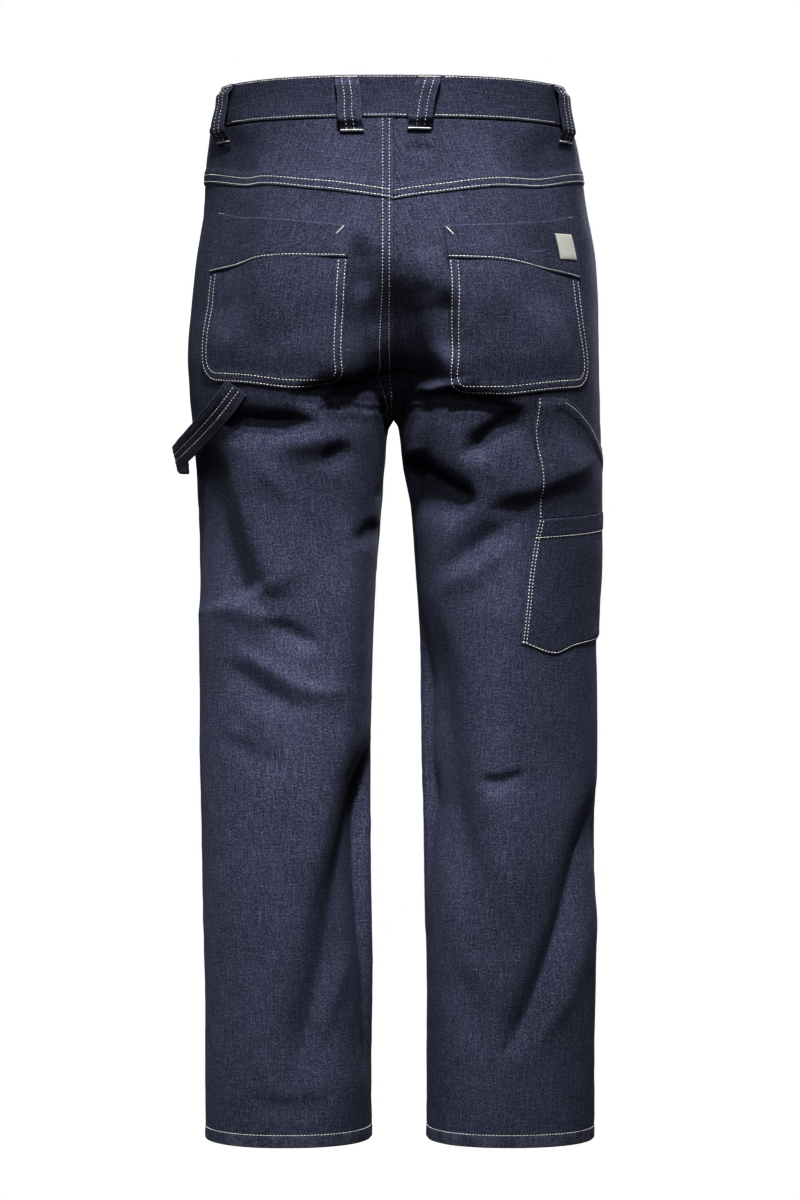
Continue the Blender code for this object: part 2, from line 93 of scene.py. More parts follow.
POCKET_RIGHT = dict(
    inner=(("down", "round"), (0.0, 252.5), (0.2, 256.0), (0.7, 263.0), (1.0, 264.0)),
    outer=(("down", "round"), (0.0, 92.0), (0.4, 107.5), (0.6, 109.0), (0.85, 103.5), (1.0, 101.0)),
    top=(("across", "level"), (0.0, -133.8), (0.3, -132.6), (0.6, -126.0), (1.0, -115.5)),
    bottom=(("across", "level"), (0.0, -302.6), (0.35, -302.4), (0.65, -297.0), (1.0, -291.5)),
    facing=(("across", "level"), (0.0, -167.0), (0.3, -169.6), (0.6, -173.0), (0.85, -178.0), (1.0, -181.5)),
    corner=0.13,
)
TOOL_UPPER = dict(
    inner=(("down", "round"), (0.0, 170.0), (0.25, 169.0), (0.6, 158.0), (1.0, 150.5)),
    outer=(("down", "round"), (0.0, 4.0), (1.0, 4.0)),
    top=(("across", "level"), (0.0, -304.2), (0.17, -304.0), (0.24, -307.5), (0.4, -321.0), (0.56, -337.0), (0.72, -352.0), (0.88, -363.5), (1.0, -371.0)),
    bottom=(("across", "level"), (0.0, -424.6), (0.27, -421.6), (0.9, -413.6), (1.0, -412.8)),
    corner=0.0,
)
TOOL_LOWER = dict(
    inner=(("down", "round"), (0.0, 150.5), (0.15, 152.5), (0.5, 153.6), (1.0, 153.0)),
    outer=(("down", "round"), (0.0, 4.0), (1.0, 4.0)),
    top=(("across", "level"), (0.0, -425.2), (0.27, -422.2), (0.9, -414.2), (1.0, -413.4)),
    bottom=(("across", "level"), (0.0, -550.0), (0.25, -562.0), (0.4, -554.0), (0.7, -548.0), (1.0, -543.0)),
    corner=0.0,
)
LABEL = dict(inner=131.0, outer=108.5, top=-136.0, low=-163.0, thick=0.6 * MM)
BELT_LOOPS = (
    ("name", "side", "face", "round_top", "round_low", "low", "room"),
    ("belt_loop_back_left", 1, "back", 204.0, 229.0, -38.5, 9.6),
    ("belt_loop_back_right", -1, "back", 214.0, 242.5, -36.0, 8.7),
    ("belt_loop_side_left", 1, "back", 62.5, 82.0, -42.0, 6.5),
    ("belt_loop_side_right", -1, "back", 61.5, 77.0, -41.5, 6.5),
    ("belt_loop_front_left", 1, "front", 112.0, 118.0, -40.0, 6.5),
    ("belt_loop_front_right", -1, "front", 112.0, 118.0, -40.0, 6.5),
)
HAMMER = (
    ("x", "y", "z", "lean"),
    (157.5, 123.8, -294.5, 36.0),
    (165.0, 120.3, -304.5, 40.0),
    (175.0, 112.5, -316.5, 46.0),
    (187.0, 99.0, -329.0, 52.0),
    (199.5, 84.0, -340.5, 60.0),
    (211.5, 66.0, -350.5, 69.0),
    (221.0, 44.0, -357.5, 76.0),
    (226.5, 20.0, -361.0, 78.0),
    (224.5, -2.0, -362.5, 82.0),
    (216.5, -17.0, -362.0, 87.0),
)
FLY = dict(edge=-8.0, wide=36.0, top=-23.0, low=-186.0)

# ---------------------------------------------------------------- stitching
STITCH_PITCH = 3.5 * MM
THREAD_RADIUS = 0.52 * MM
ROW_IN = 2.4 * MM  # a stitch row's distance from a folded edge
ROW_GAP = 6.8 * MM  # between the two rows of a double seam

# ---------------------------------------------------------------- folds of the cloth
# Each fold is a soft ridge (+) or trough (-) along a line of places (x, z) in mm, as seen from behind for "seen" folds.
# For "back" and "front" folds x is the distance from the centre seam or inner seam along the cloth, + on the wearer's left.  "before" and "after" are its half widths in mm
# on the viewer's left and right of the line, going along it; "in" and "out" are the shares over which its ends fade.
BOLD = 1.75  # every fold's height is multiplied by this
FOLD_COLUMNS = ("face", "height", "before", "after", "power", "in", "out", "line")
FOLDS = (
    # hips: a soft edge down each side, and a flatter cloth behind the side seams
    ("seen", 3.0, 40, 15, 2.0, 0.35, 0.25, ((127, -23), (129, -104), (131, -184), (133, -255))),
    ("seen", -4.5, 26, 26, 2.0, 0.35, 0.2, ((161, -13), (163, -93), (167, -174), (167, -255))),
    ("seen", 2.4, 15, 40, 2.0, 0.35, 0.25, ((-99, -33), (-101, -104), (-103, -184), (-107, -255))),
    ("seen", -4.2, 26, 26, 2.0, 0.35, 0.2, ((-147, -13), (-152, -93), (-157, -174), (-157, -245))),
    # seat: the hollow between the pockets, deepest above the fork
    ("seen", -14.0, 46, 33, 2.6, 0.55, 0.08, ((21, -150), (20, -188), (14, -224), (2, -260), (-5, -297), (-7, -308))),
    ("seen", -5.0, 14, 9, 2.0, 0.4, 0.4, ((33, -134), (35, -169), (35, -216))),
    ("seen", 2.5, 12, 12, 2.0, 0.4, 0.4, ((-24, -149), (-31, -179), (-38, -204))),
    ("seen", -6.0, 10, 13, 1.7, 0.35, 0.35, ((-51, -189), (-54, -234), (-62, -277))),
    ("seen", -10.0, 9, 17, 1.7, 0.25, 0.35, ((110, -305), (69, -297), (32, -301), (-6, -307), (-47, -306), (-82, -307))),
    # below the left pocket
    ("seen", -9.0, 8, 17, 1.6, 0.3, 0.3, ((187, -318), (155, -325), (117, -329), (76, -329))),
    ("seen", -6.0, 8, 14, 1.7, 0.3, 0.35, ((76, -322), (49, -311), (19, -303))),
    ("seen", 3.5, 12, 13, 2.0, 0.4, 0.4, ((125, -352), (84, -348), (44, -341))),
    ("seen", -3.4, 8, 13, 1.7, 0.4, 0.35, ((78, -366), (59, -361), (38, -351))),
    ("seen", 2.2, 12, 13, 1.8, 0.3, 0.5, ((181, -341), (155, -355), (115, -392), (89, -416))),
    # left thigh, outer side: the long dark wedge that ends sharply
    ("seen", -10.0, 19, 26, 1.9, 0.25, 0.1, ((195, -345), (184, -406), (171, -461), (152, -511))),
    ("seen", 4.2, 24, 11, 1.8, 0.25, 0.15, ((165, -355), (153, -406), (138, -454), (113, -509))),
    ("seen", 2.4, 8, 14, 1.8, 0.35, 0.35, ((192, -505), (165, -514), (133, -524), (103, -531))),
    ("seen", -4.0, 9, 14, 1.8, 0.35, 0.4, ((137, -524), (105, -539), (70, -557))),
    ("seen", 3.2, 9, 13, 1.7, 0.3, 0.4, ((167, -552), (131, -572), (86, -597), (38, -597))),
    ("seen", -2.6, 11, 18, 1.8, 0.3, 0.4, ((179, -567), (133, -599), (86, -622))),
    ("seen", -2.2, 8, 10, 1.8, 0.35, 0.35, ((42, -454), (28, -438), (12, -425))),
    ("seen", -2.4, 12, 16, 2.0, 0.4, 0.4, ((183, -646), (137, -666), (95, -684))),
    # left shin: a soft edge, and one long hollow from the inner side of the knee down to the hem
    ("seen", 4.0, 22, 42, 2.0, 0.25, 0.3, ((47, -406), (48, -506), (51, -597), (61, -688), (80, -779), (101, -869))),
    ("seen", -11.5, 60, 27, 1.8, 0.18, 0.2, ((2, -635), (18, -686), (33, -738), (46, -794), (58, -849), (74, -910), (90, -968), (109, -1018))),
    ("seen", 2.0, 10, 12, 1.9, 0.3, 0.4, ((34, -859), (52, -910), (78, -980))),
    ("seen", -2.4, 10, 14, 2.0, 0.4, 0.4, ((157, -1014), (105, -1023), (49, -1012))),
    # below the right pocket
    ("seen", -8.0, 9, 15, 1.6, 0.25, 0.3, ((-31, -302), (-65, -307), (-97, -313), (-125, -318))),
    ("seen", -10.0, 9, 14, 1.6, 0.3, 0.3, ((-65, -366), (-92, -343), (-112, -329), (-133, -312))),
    ("seen", 6.0, 32, 13, 2.0, 0.35, 0.3, ((-95, -400), (-137, -392), (-178, -374), (-206, -355))),
    ("seen", -12.0, 12, 23, 1.7, 0.15, 0.25, ((-8, -360), (-30, -384), (-57, -399), (-87, -410))),
    ("seen", -3.0, 7, 13, 1.8, 0.35, 0.4, ((-91, -418), (-117, -415), (-147, -412))),
    ("seen", -4.0, 12, 16, 1.8, 0.4, 0.4, ((-36, -484), (-72, -459), (-107, -436), (-143, -420))),
    ("seen", 2.6, 12, 14, 2.0, 0.4, 0.4, ((-45, -502), (-87, -472), (-127, -442))),
    # right leg: the soft edge down its middle, inner strip, knee and the long outer fold
    ("seen", 6.5, 26, 32, 2.0, 0.2, 0.25, ((-121, -446), (-115, -506), (-111, -607), (-113, -708), (-121, -789), (-117, -869))),
    ("seen", -7.0, 24, 32, 2.0, 0.3, 0.3, ((-34, -496), (-40, -587), (-53, -688), (-69, -768), (-91, -849))),
    ("seen", -3.6, 6, 12, 1.8, 0.35, 0.35, ((-83, -686), (-107, -690), (-137, -679))),
    ("seen", -9.5, 11, 17, 1.7, 0.25, 0.15, ((-208, -688), (-200, -751), (-183, -811), (-159, -881), (-128, -947), (-103, -976))),
    ("seen", 3.0, 12, 11, 1.9, 0.35, 0.35, ((-210, -799), (-196, -854), (-173, -916), (-143, -968))),
    ("seen", -2.8, 16, 16, 1.9, 0.4, 0.4, ((-59, -869), (-77, -920), (-87, -982))),
    # yoke and waistband
    ("back", -1.1, 4, 7, 1.8, 0.35, 0.35, ((-6, -56), (-26, -53.5), (-50, -56.5))),
    ("back", -2.2, 24, 30, 2.0, 0.4, 0.4, ((150, -24), (158, -60), (166, -100))),
    ("back", -2.4, 28, 24, 2.0, 0.4, 0.4, ((-150, -24), (-160, -60), (-168, -104))),
    ("back", 1.6, 26, 26, 2.0, 0.4, 0.4, ((60, -30), (60, -60), (64, -110))),
    ("back", 1.4, 26, 26, 2.0, 0.4, 0.4, ((-70, -30), (-72, -60), (-76, -110))),
    # hidden front: creases that fan from the fork, and soft breaks at the knees and shins
    ("front", -8.0, 10, 14, 1.7, 0.2, 0.45, ((14, -292), (48, -276), (92, -252), (134, -236))),
    ("front", -6.0, 9, 13, 1.7, 0.2, 0.45, ((16, -262), (50, -238), (88, -206), (118, -188))),
    ("front", -5.0, 9, 13, 1.7, 0.25, 0.45, ((14, -330), (48, -330), (92, -320), (130, -318))),
    ("front", -4.0, 9, 12, 1.8, 0.3, 0.5, ((24, -372), (60, -384), (100, -388))),
    ("front", -8.5, 14, 10, 1.7, 0.2, 0.45, ((-12, -288), (-44, -270), (-84, -240), (-122, -222))),
    ("front", -5.5, 13, 9, 1.7, 0.2, 0.45, ((-14, -254), (-46, -224), (-80, -192), (-104, -170))),
    ("front", -5.5, 13, 9, 1.7, 0.25, 0.45, ((-12, -322), (-50, -322), (-96, -306), (-138, -300))),
    ("front", -4.2, 12, 9, 1.8, 0.3, 0.5, ((-26, -360), (-62, -376), (-104, -376))),
    ("front", -4.4, 10, 15, 1.8, 0.35, 0.35, ((170, -560), (128, -578), (84, -584), (46, -578))),
    ("front", -4.0, 10, 14, 1.8, 0.35, 0.35, ((176, -616), (136, -640), (92, -652))),
    ("front", 4.0, 16, 18, 2.0, 0.35, 0.35, ((150, -500), (118, -540), (88, -600), (84, -660))),
    ("front", -4.6, 15, 10, 1.8, 0.35, 0.35, ((-44, -566), (-88, -580), (-134, -576), (-174, -560))),
    ("front", -3.8, 14, 10, 1.8, 0.35, 0.35, ((-70, -640), (-116, -650), (-160, -634))),
    ("front", 4.0, 18, 16, 2.0, 0.35, 0.35, ((-98, -500), (-92, -570), (-104, -650))),
    ("front", -5.6, 22, 20, 1.9, 0.25, 0.35, ((60, -700), (78, -790), (88, -880), (104, -960))),
    ("front", -5.0, 20, 22, 1.9, 0.25, 0.35, ((-136, -710), (-120, -800), (-104, -890), (-84, -970))),
    ("front", -3.4, 10, 13, 1.8, 0.35, 0.35, ((150, -960), (110, -984), (66, -992), (30, -984))),
    ("front", -3.4, 10, 13, 1.8, 0.35, 0.35, ((-40, -1000), (-86, -1008), (-132, -996), (-168, -980))),
)


# ---------------------------------------------------------------- tables and the filled-out body, as in the CAD
def smooth_table(xs, ys):
    xs, ys = np.asarray(xs, float), np.asarray(ys, float)
    if xs[0] > xs[-1]:
        xs, ys = xs[::-1], ys[::-1]
    h = np.diff(xs)
    d = np.diff(ys) / h
    m = np.zeros_like(ys)
    m[0], m[-1] = d[0], d[-1]
    for i in range(1, len(xs) - 1):
        if d[i - 1] * d[i] > 0:
            w1, w2 = 2 * h[i] + h[i - 1], h[i] + 2 * h[i - 1]
            m[i] = (w1 + w2) / (w1 / d[i - 1] + w2 / d[i])

    def read(x):
        x = np.clip(np.asarray(x, float), xs[0], xs[-1])
        i = np.clip(np.searchsorted(xs, x) - 1, 0, len(xs) - 2)
        t = (x - xs[i]) / h[i]
        return (
            ys[i] * (1 + 2 * t) * (1 - t) ** 2
            + m[i] * h[i] * t * (1 - t) ** 2
            + ys[i + 1] * t * t * (3 - 2 * t)
            + m[i + 1] * h[i] * t * t * (t - 1)
        )

    return read


def named(table, scale_first=1.0):
    return smooth_table([r[0] * scale_first for r in table[1:]], [r[1] * MM for r in table[1:]])


BODY = {
    name: smooth_table([r[0] * MM for r in SECTIONS], [r[i] * (1.0 if name == "square" else MM) for r in SECTIONS])
    for i, name in enumerate(COLUMNS)
    if i
}
YOKE_LEVEL = named(YOKE)


def half_section(side, face, z, count):
    tag = "l" if side > 0 else "r"
    out, inn = float(BODY["out_" + tag](z)), float(BODY["in_" + tag](z))
    n = float(BODY["square"](z))
    a, c = (out - inn) / 2, (out + inn) / 2
    end = math.pi if inn >= 0 else math.acos(max(-1.0, -((max(c, 0.0) / a) ** (n / 2))))
    turn = np.linspace(end if face == "back" else -end, -OUTSEAM_FORWARD, 361)
    cs, sn = np.cos(turn), np.sin(turn)
    x = c + a * np.sign(cs) * np.abs(cs) ** (2 / n)
    y = np.where(sn >= 0, float(BODY["back"](z)), float(BODY["front"](z))) * np.sign(sn) * np.abs(sn) ** (2 / n)
    if inn < 0:
        x[0] = 0.0
    s = np.concatenate([[0], np.cumsum(np.hypot(np.diff(x), np.diff(y)))])
    t = np.linspace(0, s[-1], count)
    return np.interp(t, s, x), np.interp(t, s, y), s[-1]


NET_COLS = 201
LEVELS = np.unique(
    np.concatenate([np.linspace(0.030, -0.26, 117), np.linspace(-0.26, -0.345, 171), np.linspace(-0.345, -1.070, 243)])
)
NET, GIRTH = {}, {}
for _side in (1, -1):
    for _face in ("back", "front"):
        _rows = [half_section(_side, _face, z, NET_COLS) for z in LEVELS]
        NET[_side, _face] = np.array([[r[0], r[1]] for r in _rows]).transpose(0, 2, 1)
        GIRTH[_side, _face] = np.array([r[2] for r in _rows])


def girth(side, face, z):
    return np.interp(z, LEVELS, GIRTH[side, face])


def point(side, face, u, z):
    u, z = np.broadcast_arrays(np.asarray(u, float), np.asarray(z, float))
    net = NET[side, face]
    i = np.clip(np.searchsorted(LEVELS, z) - 1, 0, len(LEVELS) - 2)
    fz = (z - LEVELS[i]) / (LEVELS[i + 1] - LEVELS[i])
    uu = np.clip(u, 0, 1) * (NET_COLS - 1)
    j = np.clip(uu.astype(int), 0, NET_COLS - 2)
    fu = uu - j
    p = (
        net[i, j] * ((1 - fz) * (1 - fu))[..., None]
        + net[i + 1, j] * (fz * (1 - fu))[..., None]
        + net[i, j + 1] * ((1 - fz) * fu)[..., None]
        + net[i + 1, j + 1] * (fz * fu)[..., None]
    )
    return np.stack([p[..., 0] * side, p[..., 1], z], -1)


def outward(side, face, u, z):
    du, dz = 0.006, 0.003
    u, z = np.broadcast_arrays(np.asarray(u, float), np.asarray(z, float))
    a = point(side, face, np.clip(u + du, 0, 1), z) - point(side, face, np.clip(u - du, 0, 1), z)
    b = point(side, face, u, z + dz) - point(side, face, u, z - dz)
    n = np.cross(a, b)
    # at the centre seam both halves look straight back or front, so that they stay joined
    near = 1 - step(u * girth(side, face, z) / (24 * MM))
    n[..., 0] *= 1 - near * step((z + 0.322) / 0.012)
    n /= np.linalg.norm(n, axis=-1)[..., None]
    return -n if (side > 0) == (face == "back") else n


def share(side, face, distance, z):
    return 1 - np.asarray(distance) / girth(side, face, z)


def step(x):
    x = np.clip(x, 0, 1)
    return x * x * (3 - 2 * x)


# ---------------------------------------------------------------- unevenness of the cloth
LATTICE = np.random.RandomState(11).rand(32, 32, 32) * 2 - 1


def mottle(p, size):
    """Smooth unevenness from -1 to 1 at points p, with bumps about size apart."""
    q = np.asarray(p) / size + 100.5
    i = np.floor(q).astype(int)
    f = q - i
    f = f * f * (3 - 2 * f)
    total = 0.0
    for a in (0, 1):
        for b in (0, 1):
            for c in (0, 1):
                w = (f[..., 0] if a else 1 - f[..., 0]) * (f[..., 1] if b else 1 - f[..., 1]) * (f[..., 2] if c else 1 - f[..., 2])
                total = total + w * LATTICE[(i[..., 0] + a) % 32, (i[..., 1] + b) % 32, (i[..., 2] + c) % 32]
    return total


def smooth_line(points, steps=10):
    """A rounded line through the fold's points."""
    p = np.array(points, float)
    ends = np.vstack([2 * p[0] - p[1], p, 2 * p[-1] - p[-2]])
    out = []
    for k in range(1, len(ends) - 2):
        a, b, c, d = ends[k - 1 : k + 3]
        for t in np.linspace(0, 1, steps, endpoint=False):
            out.append(0.5 * ((2 * b) + (c - a) * t + (2 * a - 5 * b + 4 * c - d) * t**2 + (3 * b - a - 3 * c + d) * t**3))
    out.append(p[-1])
    return np.array(out)


def fold_height(face, c, z, x):
    """Sum of the folds at distance c from the centre or inner seam, or x from the middle, and level z, all in mm."""
    total = np.zeros(c.shape)
    flat_z, flat = z.ravel(), total.ravel()
    for row_face, height, before, after, power, fade_in, fade_out, line in FOLDS:
        if row_face != face and not (row_face == "seen" and face == "back"):
            continue
        flat_c = (x if row_face == "seen" else c).ravel()
        pts = smooth_line(line)
        reach = 2.6 * max(before, after)
        near = np.nonzero(
            (flat_c > pts[:, 0].min() - reach)
            & (flat_c < pts[:, 0].max() + reach)
            & (flat_z > pts[:, 1].min() - reach)
            & (flat_z < pts[:, 1].max() + reach)
        )[0]
        if not len(near):
            continue
        pc, pz = flat_c[near], flat_z[near]
        best = np.full(len(near), 1e9)
        along = np.zeros(len(near))
        left = np.zeros(len(near))
        seg = np.diff(pts, axis=0)
        seg_len = np.hypot(*seg.T)
        run = np.concatenate([[0], np.cumsum(seg_len)])
        for k in range(len(seg)):
            rc, rz = pc - pts[k, 0], pz - pts[k, 1]
            t = (rc * seg[k, 0] + rz * seg[k, 1]) / seg_len[k] ** 2
            tc = np.clip(t, 0, 1)
            dc, dz = rc - tc * seg[k, 0], rz - tc * seg[k, 1]
            d = dc * dc + dz * dz
            nearer = d < best
            best = np.where(nearer, d, best)
            along = np.where(nearer, (run[k] + tc * seg_len[k]) / run[-1], along)
            left = np.where(nearer, -seg[k, 0] * rz + seg[k, 1] * rc, left)
        # a smooth change of width across the line
        d = np.sqrt(best)
        lean = step(left / seg_len.mean() / 6.0 + 0.5)
        wide = after + (before - after) * lean
        swell = step(along / fade_in) * step((1 - along) / fade_out)
        narrow = 0.55 + 0.45 * swell
        flat[near] += BOLD * height * swell * np.exp(-((d / (wide * narrow)) ** power))
    return total


def relief(side, face, u, z, folds=1.0):
    """How far the cloth stands off the plain body line, in metres."""
    u, z = np.broadcast_arrays(np.asarray(u, float), np.asarray(z, float))
    g = girth(side, face, z) / MM
    c = u * g
    level = z / MM
    p = point(side, face, u, z)
    h = fold_height(face, side * c, level, p[..., 0] / MM) * folds
    # folds ease off towards the side seams, and below the fork towards the inseams
    ease = step((g - c) / 22.0)
    inner = step(c / 18.0)
    below = step((-300.0 - level) / 22.0)
    ease = ease * (1 + (inner - 1) * below)
    stretch = np.array([1.0, 1.0, 0.62])
    h = h * ease
    calm = 0.35 + 0.65 * step((-20.0 - level) / 60.0)
    h = h + calm * (1.9 * mottle(p * stretch, 0.085) + 1.1 * mottle(p * stretch + 0.31, 0.044) + 0.36 * mottle(p + 0.77, 0.020))
    return h * MM


def on_cloth(side, face, u, z, lift, folds=1.0):
    base = point(side, face, u, z)
    return base + outward(side, face, u, z) * (relief(side, face, u, z, folds) + lift)[..., None]


def tucked(where, side, c, z):
    """The right half's edge runs a little way under the left half's, along the centre seams."""
    if side < 0:
        under = (1 - step(c / (9 * MM))) * step((z + 0.326) / 0.010)
        where[..., 0] += 2.6 * MM * under
    return where


def roll(e, radius=1.1 * MM):
    """How far a folded edge drops at a distance e inside the edge."""
    t = np.clip(1 - e / radius, 0, 1)
    return radius * (1 - np.sqrt(np.clip(1 - t * t, 0, 1)))


def dip(e, at, depth=0.32 * MM, wide=1.2 * MM):
    return -depth * np.exp(-(((e - at) / wide) ** 2))


def graded(total, fine, coarse, both=True):
    """Positions from 0 to total: a fine list near the start, and near the end, and even steps between."""
    fine = [f for f in fine if f < total / 2]
    start = np.array(fine)
    end = total - start[::-1] if both else np.array([total])
    mid = np.linspace(start[-1], end[0], max(2, int(round((end[0] - start[-1]) / coarse)) + 1))
    return np.unique(np.round(np.concatenate([start, mid, end]), 7))


EDGE = np.array([0.0, 0.35, 0.8, 1.4, 2.2, 3.2, 4.4, 5.8, 7.2, 8.6, 10.0, 11.4, 13.0, 15.0]) * MM


# ---------------------------------------------------------------- materials
def nodes_of(name):
    mat = bpy.data.materials.new(name)
    mat.use_nodes = True
    tree = mat.node_tree
    tree.nodes.clear()
    out = tree.nodes.new("ShaderNodeOutputMaterial")
    shader = tree.nodes.new("ShaderNodeBsdfPrincipled")
    tree.links.new(shader.outputs[0], out.inputs[0])
    return mat, tree, shader


class Maker:
    """Short calls for shader nodes."""

    def __init__(self, tree):
        self.tree = tree

    def put(self, socket, value):
        if isinstance(value, bpy.types.NodeSocket):
            self.tree.links.new(value, socket)
        else:
            socket.default_value = value

    def node(self, kind, **props):
        n = self.tree.nodes.new(kind)
        for key, value in props.items():
            setattr(n, key, value)
        return n

    def math(self, op, a, b=0.0, c=0.0, clamp=False):
        n = self.node("ShaderNodeMath", operation=op, use_clamp=clamp)
        self.put(n.inputs[0], a)
        self.put(n.inputs[1], b)
        self.put(n.inputs[2], c)
        return n.outputs[0]

    def mix(self, amount, a, b):
        n = self.node("ShaderNodeMix", data_type="RGBA")
        self.put(n.inputs[0], amount)
        self.put(n.inputs[6], a)
        self.put(n.inputs[7], b)
        return n.outputs[2]

    def scaled(self, vector, scale, turn=0.0):
        n = self.node("ShaderNodeMapping")
        self.put(n.inputs[0], vector)
        n.inputs[2].default_value = (0, 0, turn)
        n.inputs[3].default_value = scale
        return n.outputs[0]

    def noise(self, vector, scale=1.0, detail=2.0, rough=0.5, lacunarity=2.0):
        n = self.node("ShaderNodeTexNoise")
        self.put(n.inputs["Vector"], vector)
        n.inputs["Scale"].default_value = scale
        n.inputs["Detail"].default_value = detail
        n.inputs["Roughness"].default_value = rough
        n.inputs["Lacunarity"].default_value = lacunarity
        return n.outputs["Fac"]

    def ramp(self, value, low, high, to_low=0.0, to_high=1.0):
        n = self.node("ShaderNodeMapRange", clamp=True, interpolation_type="SMOOTHSTEP")
        self.put(n.inputs[0], value)
        for k, v in enumerate((low, high, to_low, to_high), 1):
            n.inputs[k].default_value = v
        return n.outputs[0]


WARP_DARK = (0.019, 0.021, 0.043, 1)
WARP_MID = (0.070, 0.075, 0.126, 1)
WEFT_LIGHT = (0.240, 0.247, 0.300, 1)


def denim(name, seed=0.0, light=1.0, turn=0.0, reverse=False):
    """Indigo warp twill: dark vertical warp yarns with slubs, small pale weft specks on diagonal lines."""
    mat, tree, shader = nodes_of(name)
    k = Maker(tree)
    uv = k.node("ShaderNodeUVMap", uv_map="Cloth").outputs[0]
    shift = k.node("ShaderNodeMapping")
    k.put(shift.inputs[0], uv)
    shift.inputs[1].default_value = (seed * 0.137, seed * 0.211, 0)
    shift.inputs[2].default_value = (0, 0, turn)
    uv = shift.outputs[0]
    split = k.node("ShaderNodeSeparateXYZ")
    k.put(split.inputs[0], uv)
    x, y = split.outputs[0], split.outputs[1]

    # twill: warp floats of a 3/1 weave, on lines rising to the right
    wobble = k.noise(k.scaled(uv, (260, 90, 1)), 1.0, 2.0)
    line = k.math("ADD", k.math("MULTIPLY", x, 1000 / 1.05), k.math("MULTIPLY", y, 1000 / 1.75))
    line = k.math("ADD", line, k.math("MULTIPLY", wobble, 1.5))
    wave = k.math("ABSOLUTE", k.math("SUBTRACT", k.math("FRACT", line), 0.5))
    twill = k.ramp(wave, 0.06, 0.40)  # 1 on the yarn's crown, 0 in the line between
    yarn = k.math("ABSOLUTE", k.math("SUBTRACT", k.math("FRACT", k.math("MULTIPLY", x, 1000 / 0.52)), 0.5))
    yarn = k.ramp(yarn, 0.05, 0.42)

    # uneven yarns: long warp slubs, shorter weft slubs, heather of single specks, slow clouds of dye
    warp = k.noise(k.scaled(uv, (700, 48, 1)), 1.0, 3.0, 0.7)
    warp_wide = k.noise(k.scaled(uv, (420, 22, 1)), 1.0, 2.0, 0.6)
    weft = k.noise(k.scaled(uv, (60, 640, 1)), 1.0, 3.0, 0.7)
    heather = k.noise(k.scaled(uv, (640, 520, 1)), 1.0, 2.0, 0.85)
    clumps = k.noise(k.scaled(uv, (210, 170, 1)), 1.0, 3.0, 0.6)
    clouds = k.noise(k.scaled(uv, (13, 9, 1)), 1.0, 3.0, 0.5)

    fleck = k.ramp(heather, 0.42, 0.66)
    pale = k.math("MULTIPLY", fleck, k.ramp(clumps, 0.25, 0.75, 0.45, 1.0))
    pale = k.math("ADD", k.math("MULTIPLY", pale, 0.44), k.math("MULTIPLY", k.math("SUBTRACT", 1.0, twill), 0.07))
    pale = k.math("ADD", pale, k.ramp(weft, 0.48, 0.70, 0.0, 0.16))
    pale = k.math("ADD", pale, k.ramp(warp, 0.50, 0.72, 0.0, 0.16))
    wear = k.node("ShaderNodeAttribute", attribute_name="wear").outputs["Fac"]
    pale = k.math("ADD", pale, k.math("MULTIPLY", wear, k.ramp(clumps, 0.2, 0.8, 0.10, 0.30)), clamp=True)

    depth = k.math("ADD", k.math("MULTIPLY", warp, 0.60), k.math("MULTIPLY", warp_wide, 0.30))
    depth = k.math("ADD", depth, k.math("MULTIPLY", heather, 0.65))
    depth = k.math("ADD", depth, k.math("MULTIPLY", clouds, 0.30))
    depth = k.ramp(depth, 0.66, 1.20)
    ground = k.mix(depth, WARP_DARK, WARP_MID)
    colour = k.mix(pale, ground, WEFT_LIGHT)
    if reverse:
        colour = k.mix(k.ramp(heather, 0.35, 0.7, 0.55, 0.9), colour, (0.34, 0.36, 0.42, 1))
    # light below 1 mixes the denim toward near-black: painted shade, a darker copy of the same denim (used on the
    # pocket facings and the lower tool pocket); light above 1 would be a painted highlight
    if light != 1.0:
        colour = k.mix(abs(light - 1), colour, (0.30, 0.31, 0.36, 1) if light > 1 else (0.012, 0.014, 0.030, 1))
    k.put(shader.inputs["Base Color"], colour)
    rough = k.ramp(k.math("ADD", k.math("MULTIPLY", heather, 0.6), k.math("MULTIPLY", warp, 0.4)), 0.3, 0.7, 0.80, 0.95)
    k.put(shader.inputs["Roughness"], rough)
    shader.inputs["Specular IOR Level"].default_value = 0.16
    shader.inputs["Sheen Weight"].default_value = 0.05
    shader.inputs["Sheen Roughness"].default_value = 0.4
    shader.inputs["Sheen Tint"].default_value = (0.72, 0.78, 1.0, 1)

    height = k.math("ADD", k.math("MULTIPLY", twill, 0.55), k.math("MULTIPLY", yarn, 0.20))
    height = k.math("ADD", height, k.math("MULTIPLY", warp, 0.55))
    height = k.math("ADD", height, k.math("MULTIPLY", heather, 0.45))
    height = k.math("ADD", height, k.math("MULTIPLY", clumps, 0.55))
    bump = k.node("ShaderNodeBump")
    bump.inputs["Strength"].default_value = 0.75
    bump.inputs["Distance"].default_value = 0.00022
    k.put(bump.inputs["Height"], height)
    k.put(shader.inputs["Normal"], bump.outputs[0])
    return mat


